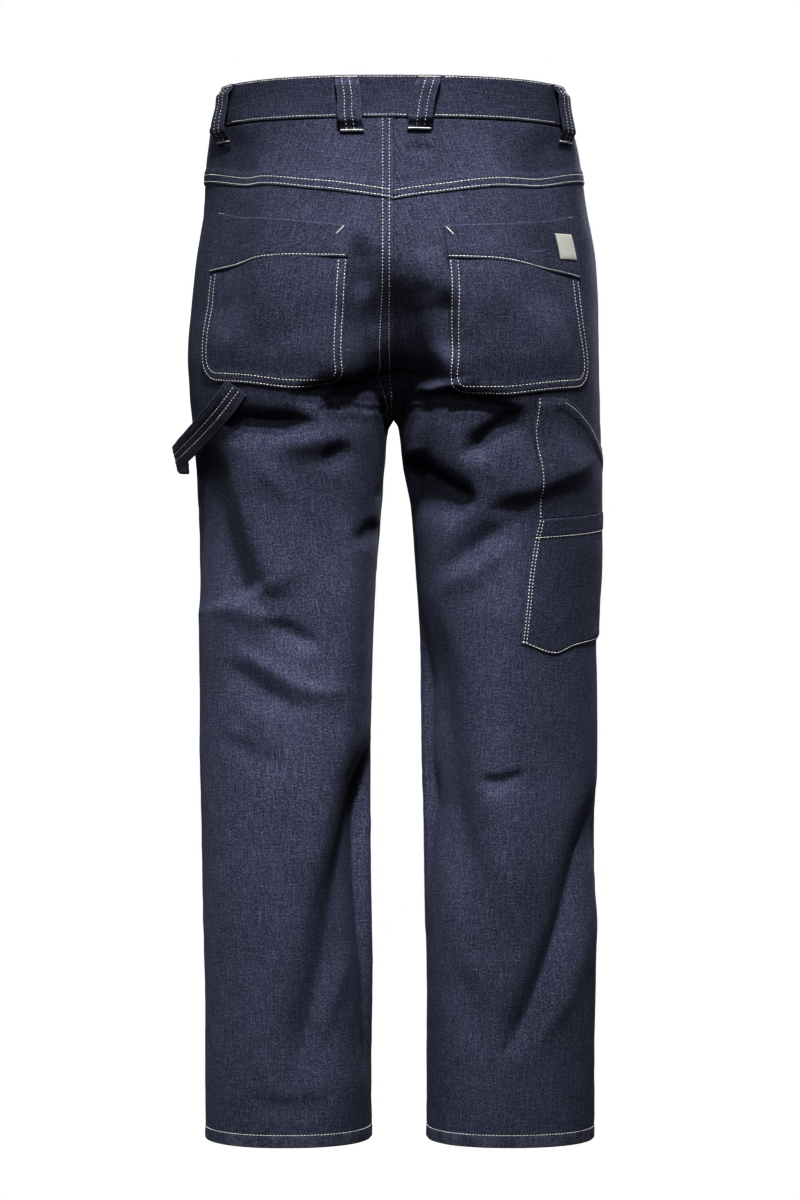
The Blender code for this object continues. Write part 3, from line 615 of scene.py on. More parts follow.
def thread_material():
    mat, tree, shader = nodes_of("topstitch_thread")
    k = Maker(tree)
    where = k.node("ShaderNodeTexCoord").outputs["Object"]
    twist = k.noise(k.scaled(where, (2600, 2600, 2600)), 1.0, 2.0)
    slow = k.noise(k.scaled(where, (60, 60, 60)), 1.0, 2.0)
    tone = k.mix(k.ramp(twist, 0.3, 0.7), (0.60, 0.585, 0.53, 1), (0.86, 0.85, 0.79, 1))
    k.put(shader.inputs["Base Color"], k.mix(k.ramp(slow, 0.35, 0.7, 0.0, 0.35), tone, (0.72, 0.68, 0.58, 1)))
    k.put(shader.inputs["Roughness"], k.ramp(twist, 0.3, 0.7, 0.55, 0.8))
    shader.inputs["Sheen Weight"].default_value = 0.2
    bump = k.node("ShaderNodeBump")
    bump.inputs["Strength"].default_value = 0.6
    bump.inputs["Distance"].default_value = 0.0001
    k.put(bump.inputs["Height"], twist)
    k.put(shader.inputs["Normal"], bump.outputs[0])
    return mat


def label_material():
    mat, tree, shader = nodes_of("woven_label")
    k = Maker(tree)
    uv = k.node("ShaderNodeUVMap", uv_map="Cloth").outputs[0]
    split = k.node("ShaderNodeSeparateXYZ")
    k.put(split.inputs[0], uv)
    across = k.math("ABSOLUTE", k.math("SUBTRACT", k.math("FRACT", k.math("MULTIPLY", split.outputs[0], 2200)), 0.5))
    along = k.math("ABSOLUTE", k.math("SUBTRACT", k.math("FRACT", k.math("MULTIPLY", split.outputs[1], 1500)), 0.5))
    weave = k.math("ADD", across, along)
    grime = k.noise(k.scaled(uv, (300, 300, 1)), 1.0, 3.0)
    tone = k.mix(k.ramp(weave, 0.2, 0.8), (0.36, 0.355, 0.33, 1), (0.52, 0.51, 0.48, 1))
    k.put(shader.inputs["Base Color"], k.mix(k.ramp(grime, 0.45, 0.75, 0.0, 0.25), tone, (0.33, 0.33, 0.34, 1)))
    k.put(shader.inputs["Roughness"], k.ramp(grime, 0.3, 0.7, 0.55, 0.75))
    shader.inputs["Sheen Weight"].default_value = 0.15
    bump = k.node("ShaderNodeBump")
    bump.inputs["Strength"].default_value = 0.5
    bump.inputs["Distance"].default_value = 0.0001
    k.put(bump.inputs["Height"], weave)
    k.put(shader.inputs["Normal"], bump.outputs[0])
    return mat


def brass_material():
    mat, tree, shader = nodes_of("aged_brass")
    k = Maker(tree)
    where = k.node("ShaderNodeTexCoord").outputs["Object"]
    blot = k.noise(k.scaled(where, (420, 420, 420)), 1.0, 4.0, 0.6)
    fine = k.noise(k.scaled(where, (2400, 2400, 2400)), 1.0, 2.0)
    k.put(shader.inputs["Base Color"], k.mix(k.ramp(blot, 0.35, 0.7), (0.30, 0.18, 0.09, 1), (0.56, 0.40, 0.22, 1)))
    k.put(shader.inputs["Roughness"], k.ramp(blot, 0.3, 0.7, 0.28, 0.5))
    shader.inputs["Metallic"].default_value = 1.0
    bump = k.node("ShaderNodeBump")
    bump.inputs["Strength"].default_value = 0.3
    bump.inputs["Distance"].default_value = 0.0001
    k.put(bump.inputs["Height"], fine)
    k.put(shader.inputs["Normal"], bump.outputs[0])
    return mat


REVERSE = denim("denim_reverse", 3.0, reverse=True)
THREAD = thread_material()
SURFACES = {}  # each cloth piece's outer face, for laying stitches on it


# ---------------------------------------------------------------- building cloth pieces
def shell(name, node, where, uv, thick=CLOTH, material=None, inside=None, wear=None, thickness=None, toward=None):
    """A cloth piece from a grid of points on its outer face, with its wall behind."""
    n, m = where.shape[:2]
    verts = where.reshape(-1, 3)
    i, j = np.meshgrid(np.arange(n - 1), np.arange(m - 1), indexing="ij")
    a = (i * m + j).ravel()
    quads = np.stack([a, a + m, a + m + 1, a + 1], -1)
    mid_i, mid_j = n // 2, m // 2
    normal = np.cross(where[mid_i + 1, mid_j] - where[mid_i, mid_j], where[mid_i, mid_j + 1] - where[mid_i, mid_j])
    if np.dot(normal, toward[mid_i, mid_j]) < 0:
        quads = quads[:, ::-1]
    mesh = bpy.data.meshes.new(name)
    mesh.from_pydata(verts.tolist(), [], quads.tolist())
    mesh.shade_smooth()
    layer = mesh.uv_layers.new(name="Cloth")
    flat_uv = uv.reshape(-1, 2)
    layer.data.foreach_set("uv", flat_uv[quads.ravel()].ravel())
    worn = mesh.attributes.new("wear", "FLOAT", "POINT")
    worn.data.foreach_set("value", (wear if wear is not None else np.zeros((n, m))).ravel().astype(np.float32))
    ob = bpy.data.objects.new(name, mesh)
    bpy.context.scene.collection.objects.link(ob)
    mesh.materials.append(material)
    mesh.materials.append(inside or REVERSE)
    solid = ob.modifiers.new("wall", "SOLIDIFY")
    solid.thickness = thick
    solid.offset = -1.0
    solid.use_even_offset = False
    solid.material_offset = 1
    solid.material_offset_rim = 0
    if thickness is not None:
        group = ob.vertex_groups.new(name="fold")
        flat = thickness.ravel()
        for value in np.unique(np.round(flat, 2)):
            if value > 0:
                group.add(np.nonzero(np.round(flat, 2) == value)[0].tolist(), float(value), "REPLACE")
        solid.vertex_group = "fold"
        solid.thickness_vertex_group = 0.4
    SURFACES[name] = BVHTree.FromPolygons(verts.tolist(), quads.tolist())
    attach(ob, "root")
    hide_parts(node)
    return ob


def metric_uv(side, distance, z):
    distance, z = np.broadcast_arrays(distance, z)
    return np.stack([side * distance, z], -1)


def columns_down(side, face, u, z):
    g = girth(side, face, z)
    above, below = (float(np.interp(k, LEVELS, GIRTH[side, face])) for k in (-0.25, -0.42))
    t = np.clip((-0.25 - z) / 0.17, 0, 1)
    even = np.where((z < -0.25) & (z > -0.42), above + (below - above) * t, g)
    distance = even * (1 - u) + (g - even) * (1 - u) ** 4
    return 1 - distance / g


FELL = 13.0 * MM  # width of the flat-felled centre seam, on the wearer's left


def seam_lift(side, face, c, z):
    """Thickness and rounding of the cloth at the centre, inner and side seams."""
    fork = step((z + 0.335) / 0.02)  # 1 above the fork
    g = girth(side, face, z)
    e_out = g - c
    puckers = mottle(point(side, face, np.clip(c / g, 0, 1), z), 0.0085)
    lift = np.zeros(c.shape)
    if face == "back":
        if side > 0:
            fell = (1.15 * MM) * (1 - step((c - FELL) / (3.0 * MM))) - roll(c, 1.0 * MM)
            fell = fell + dip(c, 4.4 * MM) + dip(c, 11.0 * MM)
        else:
            fell = 0.35 * MM * np.exp(-(((c - 7.5 * MM) / (4.0 * MM)) ** 2)) - 1.0 * MM * np.exp(-((c / (2.4 * MM)) ** 2))
        lift = lift + fell * fork
        lift = lift + fork * 0.30 * MM * puckers * np.exp(-((c / (15 * MM)) ** 2))
    else:
        lift = lift - fork * 0.5 * MM * np.exp(-((c / (1.6 * MM)) ** 2))
    # inseam below the fork: a felled ridge on the front half
    ridge = 0.7 * MM * (1 - step((c - 9 * MM) / (4 * MM))) if face == "front" else 0.0
    lift = lift + (1 - fork) * (ridge - roll(c, 0.9 * MM) + 0.25 * MM * puckers * np.exp(-((c / (13 * MM)) ** 2)))
    # outseam: pressed open, a shallow channel with soft edges
    lift = lift - 0.75 * MM * np.exp(-((e_out / (1.3 * MM)) ** 2)) + 0.35 * MM * np.exp(-(((e_out - 7 * MM) / (4.5 * MM)) ** 2))
    lift = lift + 0.32 * MM * puckers * np.exp(-((e_out / (13 * MM)) ** 2))
    return lift


def leg_panel(side, face):
    word = "left" if side > 0 else "right"
    spacing = 3.0 * MM if face == "back" else 4.0 * MM
    middle = float(girth(side, face, -0.5))
    near_inner = np.array([0, 0.5, 1.2, 2.4, 3.6, 4.8, 6.2, 7.6, 9.0, 10.4, 11.8, 13.2, 14.8, 16.6]) * MM
    near_outer = np.array([0, 0.8, 1.8, 3.2, 5.0, 7.0, 9.4]) * MM
    inner = near_inner if face == "back" else near_inner[[0, 1, 2, 4, 7, 9, 11, 13]]
    mid = np.linspace(inner[-1], middle - near_outer[-1], int((middle - inner[-1] - near_outer[-1]) / spacing) + 1)
    us = np.unique(np.concatenate([inner, mid, middle - near_outer])) / middle
    top = -0.094 if face == "back" else BAND_LOW + 9 * MM
    fork_rows = np.linspace(-0.292, -0.340, 31)
    low = np.array([16.5, 14.8, 13.4, 12.2, 10.8, 9.0, 7.2, 5.4, 3.8, 2.4, 1.4, 0.7, 0.2, 0.0]) * MM + HEM
    rows = np.concatenate(
        [
            np.linspace(top, -0.292, int((top + 0.292) / spacing) + 1),
            fork_rows[1:-1],
            np.linspace(-0.340, low[0], int((-0.340 - low[0]) / spacing) + 1),
            low[1:],
        ]
    )
    u0, z0 = np.meshgrid(us, rows, indexing="ij")
    if face == "back":
        drop = np.clip((z0 + 0.25) / (0.25 - 0.105), 0, 1)
        z = z0 + (YOKE_LEVEL(u0) + 0.105) * drop * drop * (3 - 2 * drop)
    else:
        z = z0
    u = columns_down(side, face, u0, z)
    g = girth(side, face, z)
    c = u * g
    lift = seam_lift(side, face, c, z)
    if face == "back":
        under = YOKE_LEVEL(u) - 1.5 * MM - z  # below the yoke's folded edge
        lift = lift - 0.5 * MM * (1 - step(under / (2.5 * MM) + 1.0))
        lift = lift + 0.30 * MM * mottle(point(side, face, u, z), 0.008) * np.exp(-((np.clip(under, 0, 1) / (10 * MM)) ** 2))
    else:
        lift = lift - 1.3 * MM * step((z - BAND_LOW + 1.5 * MM) / (3 * MM))
    # hem: turned up inside, stitched all round
    up = z - HEM
    ripple = mottle(np.stack([c, c * 0, up * 0.45 + c * 0.35], -1) + side * 0.4, 0.0075)
    hem = 1 - step((up - 12.5 * MM) / (2.0 * MM))
    lift = lift + hem * 0.45 * MM + dip(up, 12.8 * MM, 0.45 * MM, 1.3 * MM) - roll(up, 1.3 * MM)
    lift = lift + 0.34 * MM * ripple * np.exp(-(((up - 6 * MM) / (9 * MM)) ** 2))
    where = tucked(on_cloth(side, face, u, z, lift), side, c, z)
    wear = 0.75 * hem * np.clip(0.5 + ripple, 0, 1) + 0.8 * np.exp(-((up / (1.5 * MM)) ** 2))
    if face == "back" and side > 0:
        wear = wear + 0.5 * np.exp(-((c / (1.6 * MM)) ** 2)) * (z > -0.33)
    ob = shell(
        f"{face}_{word}_cloth", f"{face}_panel_{word}", where, metric_uv(side, g - c, z), 3.0 * MM,
        DENIM[f"{face}_{word}"], None, np.clip(wear, 0, 1), hem, toward=outward(side, face, u, z),
    )
    return ob


def yoke(side):
    word = "left" if side > 0 else "right"
    g0 = float(girth(side, "back", -0.06))
    near = np.array([0, 0.5, 1.2, 2.4, 3.6, 4.8, 6.2, 7.6, 9.0, 10.4, 11.8, 13.2, 14.8, 16.6]) * MM
    us = np.concatenate([near, np.linspace(near[-1], g0 - 8 * MM, int((g0 - near[-1]) / (2.4 * MM)))[1:], g0 - np.array([6, 4, 2.2, 1.0, 0]) * MM]) / g0
    es = graded(float(BAND_LOW + 9 * MM + 0.1045), EDGE, 2.2 * MM, both=False) / (BAND_LOW + 9 * MM + 0.1045)
    u, q = np.meshgrid(us, es, indexing="ij")
    low = YOKE_LEVEL(u) - 2.2 * MM
    z = low + (BAND_LOW + 9 * MM - low) * q
    e = z - low
    g = girth(side, "back", z)
    c = u * g
    lap = 1.35 * MM * (1 - step((e - 11 * MM) / (7 * MM))) - roll(e, 1.0 * MM)
    lap = lap + dip(e, ROW_IN, 0.36 * MM) + dip(e, ROW_IN + ROW_GAP, 0.36 * MM)
    lap = lap + 0.28 * MM * mottle(point(side, "back", u, z), 0.0078) * np.exp(-(((e - 6 * MM) / (9 * MM)) ** 2))
    lift = lap + seam_lift(side, "back", c, z) - 1.5 * MM * step((z - BAND_LOW + 2.0 * MM) / (3.4 * MM))
    where = tucked(on_cloth(side, "back", u, z, lift), side, c, z)
    wear = 0.65 * np.exp(-((e / (1.4 * MM)) ** 2))
    if side > 0:
        wear = wear + 0.5 * np.exp(-((c / (1.6 * MM)) ** 2))
    return shell(
        f"yoke_{word}_cloth", f"back_yoke_{word}", where, metric_uv(side, g - c, z), CLOTH, DENIM["yoke"], None,
        np.clip(wear, 0, 1), toward=outward(side, "back", u, z),
    )


# ---------------------------------------------------------------- waistband
RING = sum(float(np.interp(0.0, LEVELS, g)) for g in GIRTH.values())
RING_LEGS = ((1, "front"), (1, "back"), (-1, "back"), (-1, "front"))


def ring_place(f, z, lift):
    f, z, lift = np.broadcast_arrays(f, z, lift)
    g = {key: girth(*key, z) for key in RING_LEGS}
    length = sum(g.values())
    s = (f % 1.0) * length
    where = np.zeros(f.shape + (3,))
    out = np.zeros(f.shape + (3,))
    start = np.zeros(f.shape)
    for n, key in enumerate(RING_LEGS):
        inside = (s >= start) & ((s < start + g[key]) | (n == 3))
        u = (s - start) / g[key] if n % 2 == 0 else 1 - (s - start) / g[key]
        u = np.clip(u, 0, 1)
        w = on_cloth(*key, u, z, lift, 0.5)
        o = outward(*key, u, z)
        where[inside] = w[inside]
        out[inside] = o[inside]
        start = start + g[key]
    return where, out


def waistband():
    over = BAND_LAP / RING
    fs = np.linspace(-over, 1 + over, int(RING / (2.3 * MM)))
    tall = BAND_TOP - BAND_LOW
    es = graded(tall, EDGE[:11], 2.4 * MM)
    f, up = np.meshgrid(fs, es, indexing="ij")
    z = BAND_LOW + up
    t = step((f - 30 * MM / RING) / (35 * MM / RING))
    stand = BAND_LAP_LIFT + (1.35 * MM - BAND_LAP_LIFT) * t
    down = tall - up
    lift = stand - roll(up, 1.2 * MM) - 0.9 * roll(down, 1.5 * MM)
    lift = lift + dip(up, 2.6 * MM, 0.42 * MM) + dip(down, 2.2 * MM, 0.38 * MM)
    base, _ = ring_place(f, z, 0 * f)
    lift = lift + 0.30 * MM * mottle(base, 0.008) * (np.exp(-((up / (7 * MM)) ** 2)) + np.exp(-((down / (7 * MM)) ** 2)))
    lift = lift + 0.45 * MM * mottle(base * np.array([1, 1, 0.5]) + 0.2, 0.019)
    where, out = ring_place(f, z, lift)
    wear = 0.8 * np.exp(-((up / (1.3 * MM)) ** 2)) + 0.8 * np.exp(-((down / (1.5 * MM)) ** 2))
    uv = np.stack([z, f * RING], -1)  # the band is cut along the roll, its warp runs round the waist
    return shell("waistband_cloth", "waistband", where, uv, BAND_CLOTH, DENIM["band"], DENIM["band"], wear, toward=out)


# ---------------------------------------------------------------- patches on the panels
def outline_distance(points, outline):
    """Distance of every point from an open outline, both in the flat cloth."""
    flat = points.reshape(-1, 2)
    best = np.full(len(flat), 1e9)
    for a, b in zip(outline[:-1], outline[1:]):
        ab = b - a
        t = np.clip(((flat - a) @ ab) / (ab @ ab), 0, 1)
        d = np.linalg.norm(flat - (a + t[:, None] * ab), axis=1)
        best = np.minimum(best, d)
    return best.reshape(points.shape[:-1])


def patch_plan(side, spec, across, down, low="bottom"):
    """Where a patch's grid lies in the flat: distance from the outseam and level."""
    inner, outer, top, bottom, edge = (named(spec[k]) for k in ("inner", "outer", "top", "bottom", low))
    corner = spec["corner"] if low == "bottom" else 0.0
    full_top, full_low = top(across), bottom(across)
    level = full_top + (edge(across) - full_top) * down
    depth = (full_top - level) / (full_top - full_low)
    here = across
    if corner:
        # the lower corners are quarter rounds
        near = np.clip((depth - (1 - corner)) / corner, 0, 1)
        side_near = np.clip((np.abs(across - 0.5) - (0.5 - corner)) / corner, 0, 1)
        round_side, round_down = side_near * np.sqrt(1 - near**2 / 2), near * np.sqrt(1 - side_near**2 / 2)
        here = np.where(side_near > 0, 0.5 + np.sign(across - 0.5) * (0.5 - corner + corner * round_side), across)
        depth = np.where(near > 0, 1 - corner + corner * round_down, depth)
        level = full_top - depth * (full_top - full_low)
    distance = inner(depth) + (outer(depth) - inner(depth)) * here
    return np.stack([distance, level], -1)


def patch_outline(side, spec, low="bottom", sides=("inner", "bottom", "outer")):
    one, zero = np.ones(60), np.zeros(60)
    run = np.linspace(0, 1, 60)
    parts = []
    if "inner" in sides:
        parts.append(patch_plan(side, spec, zero, run, low))
    if "bottom" in sides:
        parts.append(patch_plan(side, spec, run, one, low))
    if "outer" in sides:
        parts.append(patch_plan(side, spec, one, run[::-1], low))
    line = np.vstack(parts)
    keep = np.concatenate([[True], np.linalg.norm(np.diff(line, axis=0), axis=1) > 0.2 * MM])
    return line[keep]


def patch(name, node, side, spec, lift_of, low="bottom", start=0.0, spacing=1.9 * MM, material=None, wear_edges=True, fine=True):
    width, tall = 155 * MM, 165 * MM
    if low != "bottom":
        tall = 45 * MM
    if spec is TOOL_UPPER:
        tall = 115 * MM
    if spec is TOOL_LOWER:
        tall = 132 * MM
    across = graded(width, EDGE, spacing) / width
    down = graded(tall, EDGE, spacing) / tall
    down = down[down >= start - 1e-6]
    a, d = np.meshgrid(across, down, indexing="ij")
    plan = patch_plan(side, spec, a, d, low)
    u = share(side, "back", plan[..., 0], plan[..., 1])
    lift, wear = lift_of(plan, a, d)
    where = on_cloth(side, "back", u, plan[..., 1], lift)
    uv = metric_uv(side, plan[..., 0], plan[..., 1])
    return shell(name, node, where, uv, CLOTH, material, None, np.clip(wear, 0, 1), toward=outward(side, "back", u, plan[..., 1]))


def puckered(plan, side, size=0.008):
    u = share(side, "back", plan[..., 0], plan[..., 1])
    return mottle(point(side, "back", u, plan[..., 1]), size)


def back_pocket(side):
    word = "left" if side > 0 else "right"
    spec = POCKET_LEFT if side > 0 else POCKET_RIGHT
    outline = patch_outline(side, spec)

    def body_lift(plan, a, d):
        e = outline_distance(plan, outline)
        edge_zone = 1 - step((e - 10.5 * MM) / (3 * MM))
        lift = 1.75 * MM + 0.65 * MM * edge_zone - roll(e, 1.15 * MM)
        lift = lift + dip(e, ROW_IN, 0.45 * MM) + dip(e, ROW_IN + ROW_GAP, 0.45 * MM)
        lift = lift + 1.3 * MM * step((e - 10 * MM) / (45 * MM))
        lift = lift + 0.42 * MM * puckered(plan, side) * np.exp(-(((e - 5 * MM) / (10 * MM)) ** 2))
        lift = lift + 0.35 * MM * puckered(plan, side, 0.024)
        wear = 0.75 * np.exp(-((e / (1.3 * MM)) ** 2)) + 0.12 * edge_zone
        return lift, wear

    low_edge = patch_outline(side, spec, "facing", ("bottom",))
    top_line = np.stack([patch_plan(side, spec, np.linspace(0, 1, 80), np.zeros(80), "facing")], 0)[0]
    rims = [patch_outline(side, spec, "facing", ("inner",)), patch_outline(side, spec, "facing", ("outer",))]

    def facing_lift(plan, a, d):
        e_low = outline_distance(plan, low_edge)
        e_top = outline_distance(plan, top_line)
        e_side = np.minimum(*(outline_distance(plan, r) for r in rims))
        bottom = step((e_low - 6 * MM) / (20 * MM))
        lift = 3.75 * MM - 1.15 * MM * bottom
        lift = lift - roll(e_low, 1.1 * MM) - 0.9 * roll(e_top, 1.2 * MM) - 0.9 * roll(e_side, 1.1 * MM)
        lift = lift - 0.9 * MM * (1 - step(e_side / (12 * MM))) * step((e_low - 3 * MM) / (12 * MM))
        lift = lift + dip(e_low, ROW_IN, 0.5 * MM)
        lift = lift + 0.4 * MM * puckered(plan, side) * np.exp(-((e_low / (7 * MM)) ** 2))
        lift = lift + 0.5 * MM * puckered(plan, side, 0.022) * step(e_top / (8 * MM))
        wear = 0.6 * np.exp(-((e_low / (1.3 * MM)) ** 2)) + 0.75 * np.exp(-((e_top / (1.4 * MM)) ** 2)) + 0.5 * np.exp(-((e_side / (1.3 * MM)) ** 2))
        return lift, wear

    start = 0.17
    patch(f"pocket_{word}_cloth", f"back_pocket_{word}", side, spec, body_lift, start=start, material=DENIM[f"pocket_{word}"])
    patch(f"pocket_{word}_facing_cloth", f"back_pocket_facing_{word}", side, spec, facing_lift, low="facing", material=DENIM[f"facing_{word}"])


def tool_pockets():
    left_u = patch_outline(-1, TOOL_UPPER, sides=("inner",))
    top_u = patch_plan(-1, TOOL_UPPER, np.linspace(0, 1, 120), np.zeros(120))

    def upper(plan, a, d):
        e_left = outline_distance(plan, left_u)
        e_top = outline_distance(plan, top_u)
        e = np.minimum(e_left, e_top)
        slope = step((plan[..., 0] < 148 * MM) * 1.0)
        lift = 1.7 * MM - roll(e_left, 1.1 * MM) - roll(e_top, 1.2 * MM)
        lift = lift + 0.5 * MM * (1 - step((e_left - 4.5 * MM) / (3 * MM))) + 0.9 * MM * (1 - step((e_top - 9 * MM) / (5 * MM))) * slope
        lift = lift + dip(e_left, ROW_IN, 0.45 * MM) + dip(e_top, ROW_IN + 1.2 * MM, 0.45 * MM)
        hidden = 1 - step((e_top - 1.0 * MM) / (6 * MM))
        lift = lift - 1.5 * MM * hidden * step((plan[..., 0] - 138 * MM) / (6 * MM))
        lift = lift + 1.2 * MM * step((e - 8 * MM) / (40 * MM))
        lift = lift + 0.4 * MM * puckered(plan, -1) * np.exp(-(((e - 3 * MM) / (9 * MM)) ** 2)) + 0.5 * MM * puckered(plan, -1, 0.026)
        wear = 0.6 * np.exp(-((e / (1.3 * MM)) ** 2))
        return lift, wear

    patch("tool_pocket_upper_cloth", "tool_pocket_upper", -1, TOOL_UPPER, upper, material=DENIM["tool_upper"])
    edge_l = patch_outline(-1, TOOL_LOWER, sides=("inner", "bottom"))
    top_l = patch_plan(-1, TOOL_LOWER, np.linspace(0, 1, 120), np.zeros(120))

    def lower(plan, a, d):
        e = outline_distance(plan, edge_l)
        e_top = outline_distance(plan, top_l)
        lift = 2.9 * MM - roll(e, 1.15 * MM) - roll(e_top, 1.2 * MM)
        lift = lift - 0.9 * MM * (1 - step(e / (5 * MM))) + 0.8 * MM * (1 - step((e_top - 17.5 * MM) / (3 * MM)))
        lift = lift + dip(e, ROW_IN, 0.45 * MM) + dip(e_top, 18.5 * MM, 0.5 * MM)
        lift = lift + 1.1 * MM * step((np.minimum(e, e_top) - 8 * MM) / (40 * MM))
        lift = lift + 0.4 * MM * puckered(plan, -1) * np.exp(-(((np.minimum(e, e_top) - 4 * MM) / (9 * MM)) ** 2))
        lift = lift + 0.5 * MM * puckered(plan, -1, 0.026)
        wear = 0.6 * np.exp(-((e / (1.3 * MM)) ** 2)) + 0.75 * np.exp(-((e_top / (1.4 * MM)) ** 2))
        return lift, wear

    patch("tool_pocket_lower_cloth", "tool_pocket_lower", -1, TOOL_LOWER, lower, material=DENIM["tool_lower"])


def label():
    d, z = np.meshgrid(np.linspace(LABEL["inner"], LABEL["outer"], 26) * MM, np.linspace(LABEL["top"], LABEL["low"], 30) * MM, indexing="ij")
    u = share(-1, "back", d, z)
    e = np.minimum(np.minimum(LABEL["inner"] * MM - d, d - LABEL["outer"] * MM), np.minimum(LABEL["top"] * MM - z, z - LABEL["low"] * MM))
    lift = 4.5 * MM - roll(e, 0.5 * MM) + 0.5 * MM * mottle(np.stack([d, z, z * 0], -1), 0.012) * step(e / (4 * MM)) + 0.4 * MM * step(e / (6 * MM))
    where = on_cloth(-1, "back", u, z, lift)
    return shell("pocket_tab_cloth", "pocket_label", where, metric_uv(-1, d, z), LABEL["thick"], label_material(), label_material(), None, toward=outward(-1, "back", u, z))


# ---------------------------------------------------------------- loops
def strap_rows(across, rows, width):
    """Grooves under the two stitch rows and rounded edges of a folded strap."""
    e = np.minimum(across, 1 - across) * width
    h = -roll(e, 1.0 * MM)
    for row in rows:
        h = h + dip(across * width, row * width, 0.34 * MM, 1.1 * MM)
    return h + 0.25 * MM * step((e - 3 * MM) / (3 * MM))


def belt_loop(name, side, face, round_top, round_low, low, room):
    top = BAND_TOP - 0.5 * MM
    low = low * MM
    a = graded(LOOP_WIDTH, EDGE[:9], 1.5 * MM) / LOOP_WIDTH
    across, down = np.meshgrid(a, np.concatenate([[0, 0.008, 0.018, 0.03], np.linspace(0.045, 0.955, 46), [0.97, 0.982, 0.992, 1.0]]), indexing="ij")
    level = top + (low - top) * down
    distance = (round_top + (round_low - round_top) * down) * MM + (across - 0.5) * LOOP_WIDTH
    rise = np.clip(np.minimum(down - 0.05, 0.95 - down) / 0.16, 0, 1)
    rise = rise * rise * (3 - 2 * rise)
    foot = np.where(down > 0.5, 1.0 * MM, 1.6 * MM) + STRAP_CLOTH + 0.15 * MM
    stand = min(room, 6.5)
    lift = foot + rise * (1.0 * MM + stand * MM + STRAP_CLOTH - foot)
    rows = LOOP_ROWS[name]
    lift = lift + strap_rows(across, rows, LOOP_WIDTH) - 0.8 * roll(np.minimum(down, 1 - down) * (top - low), 1.1 * MM)
    u = share(side, face, distance, level)
    base = point(side, face, u, level)
    lift = lift + 0.30 * MM * mottle(base, 0.011) + 0.45 * MM * mottle(base + 0.5, 0.03) * rise
    # a slight twist, so that the two edges stand unevenly
    lift = lift + (across - 0.5) * rise * TWIST.get(name, 0.0) * MM
    where = base + outward(side, face, u, level) * (relief(side, face, u, level, 0.5) + lift)[..., None]
    e = np.minimum(across, 1 - across) * LOOP_WIDTH
    wear = 0.8 * np.exp(-((e / (1.2 * MM)) ** 2))
    uv = np.stack([side * distance, level], -1)
    return shell(name + "_cloth", name, where, uv, STRAP_CLOTH, DENIM["strap"], DENIM["strap"], wear, toward=outward(side, face, u, level))


LOOP_ROWS = {
    "belt_loop_back_left": (0.305, 0.61),
    "belt_loop_back_right": (0.29, 0.625),
    "belt_loop_side_left": (0.34, 0.66),
    "belt_loop_side_right": (0.34, 0.66),
    "belt_loop_front_left": (0.34, 0.66),
    "belt_loop_front_right": (0.34, 0.66),
}
TWIST = {"belt_loop_back_left": -1.6, "belt_loop_back_right": -2.4, "belt_loop_side_left": 1.0, "belt_loop_side_right": 1.2}
HAMMER_ROWS = (0.36, 0.62)


def hammer_frame(down):
    rows = np.array(HAMMER[1:], float)
    t = np.linspace(0, 1, len(rows))
    line = [smooth_table(t, rows[:, k] * MM) for k in range(3)]
    lean = smooth_table(t, rows[:, 3])
    here = np.stack([f(down) for f in line], -1)
    ahead = np.stack([f(np.clip(down + 0.01, 0, 1)) for f in line], -1)
    back = np.stack([f(np.clip(down - 0.01, 0, 1)) for f in line], -1)
    run = ahead - back
    run /= np.linalg.norm(run, axis=-1)[..., None]
    angle = np.radians(lean(down))
    wide = np.stack([np.cos(angle), np.zeros_like(angle), np.sin(angle)], -1)
    wide -= run * (wide * run).sum(-1)[..., None]
    wide /= np.linalg.norm(wide, axis=-1)[..., None]
    out = np.cross(wide, run)
    middle = np.array([0.11, 0.0, 0.0])
    flip = np.sign(((here - middle) * np.array([1, 1, 0]) * out).sum(-1))
    return here, wide, out * flip[..., None]


def hammer_loop():
    a = graded(HAMMER_WIDTH, EDGE[:9], 1.4 * MM) / HAMMER_WIDTH
    across, down = np.meshgrid(a, np.linspace(0, 1, 110), indexing="ij")
    here, wide, out = hammer_frame(down)
    base = here + wide * ((across - 0.5) * HAMMER_WIDTH)[..., None]
    lift = strap_rows(across, HAMMER_ROWS, HAMMER_WIDTH) + 0.30 * MM * mottle(base, 0.009) + 0.5 * MM * mottle(base + 0.3, 0.026)
    # folded cloth inside makes one long ridge beside the lower row
    lift = lift + 0.45 * MM * np.exp(-(((across - 0.80) / 0.09) ** 2))
    where = base + out * lift[..., None]
    e = np.minimum(across, 1 - across) * HAMMER_WIDTH
    wear = 0.8 * np.exp(-((e / (1.2 * MM)) ** 2)) + 0.3 * np.exp(-(((across - 0.80) / 0.05) ** 2))
    uv = np.stack([across * HAMMER_WIDTH, down * 0.175], -1)
    return shell("hammer_loop_cloth", "hammer_loop", where, uv, STRAP_CLOTH, DENIM["hammer"], DENIM["hammer"], wear, toward=out)


# ---------------------------------------------------------------- front closure
def front_share(reach, level):
    """Signed distance from the centre of the front, as side and share."""
    side = np.where(reach >= 0, 1, -1)
    g = np.where(reach >= 0, girth(1, "front", level), girth(-1, "front", level))
    return side, np.abs(reach) / g


def fly_surface(reach, level, lift):
    side, u = front_share(reach, level)
    where = np.zeros(reach.shape + (3,))
    out = np.zeros(reach.shape + (3,))
    for s in (1, -1):
        w, o = on_cloth(s, "front", u, level, lift), outward(s, "front", u, level)
        where[side == s] = w[side == s]
        out[side == s] = o[side == s]
    return where, out


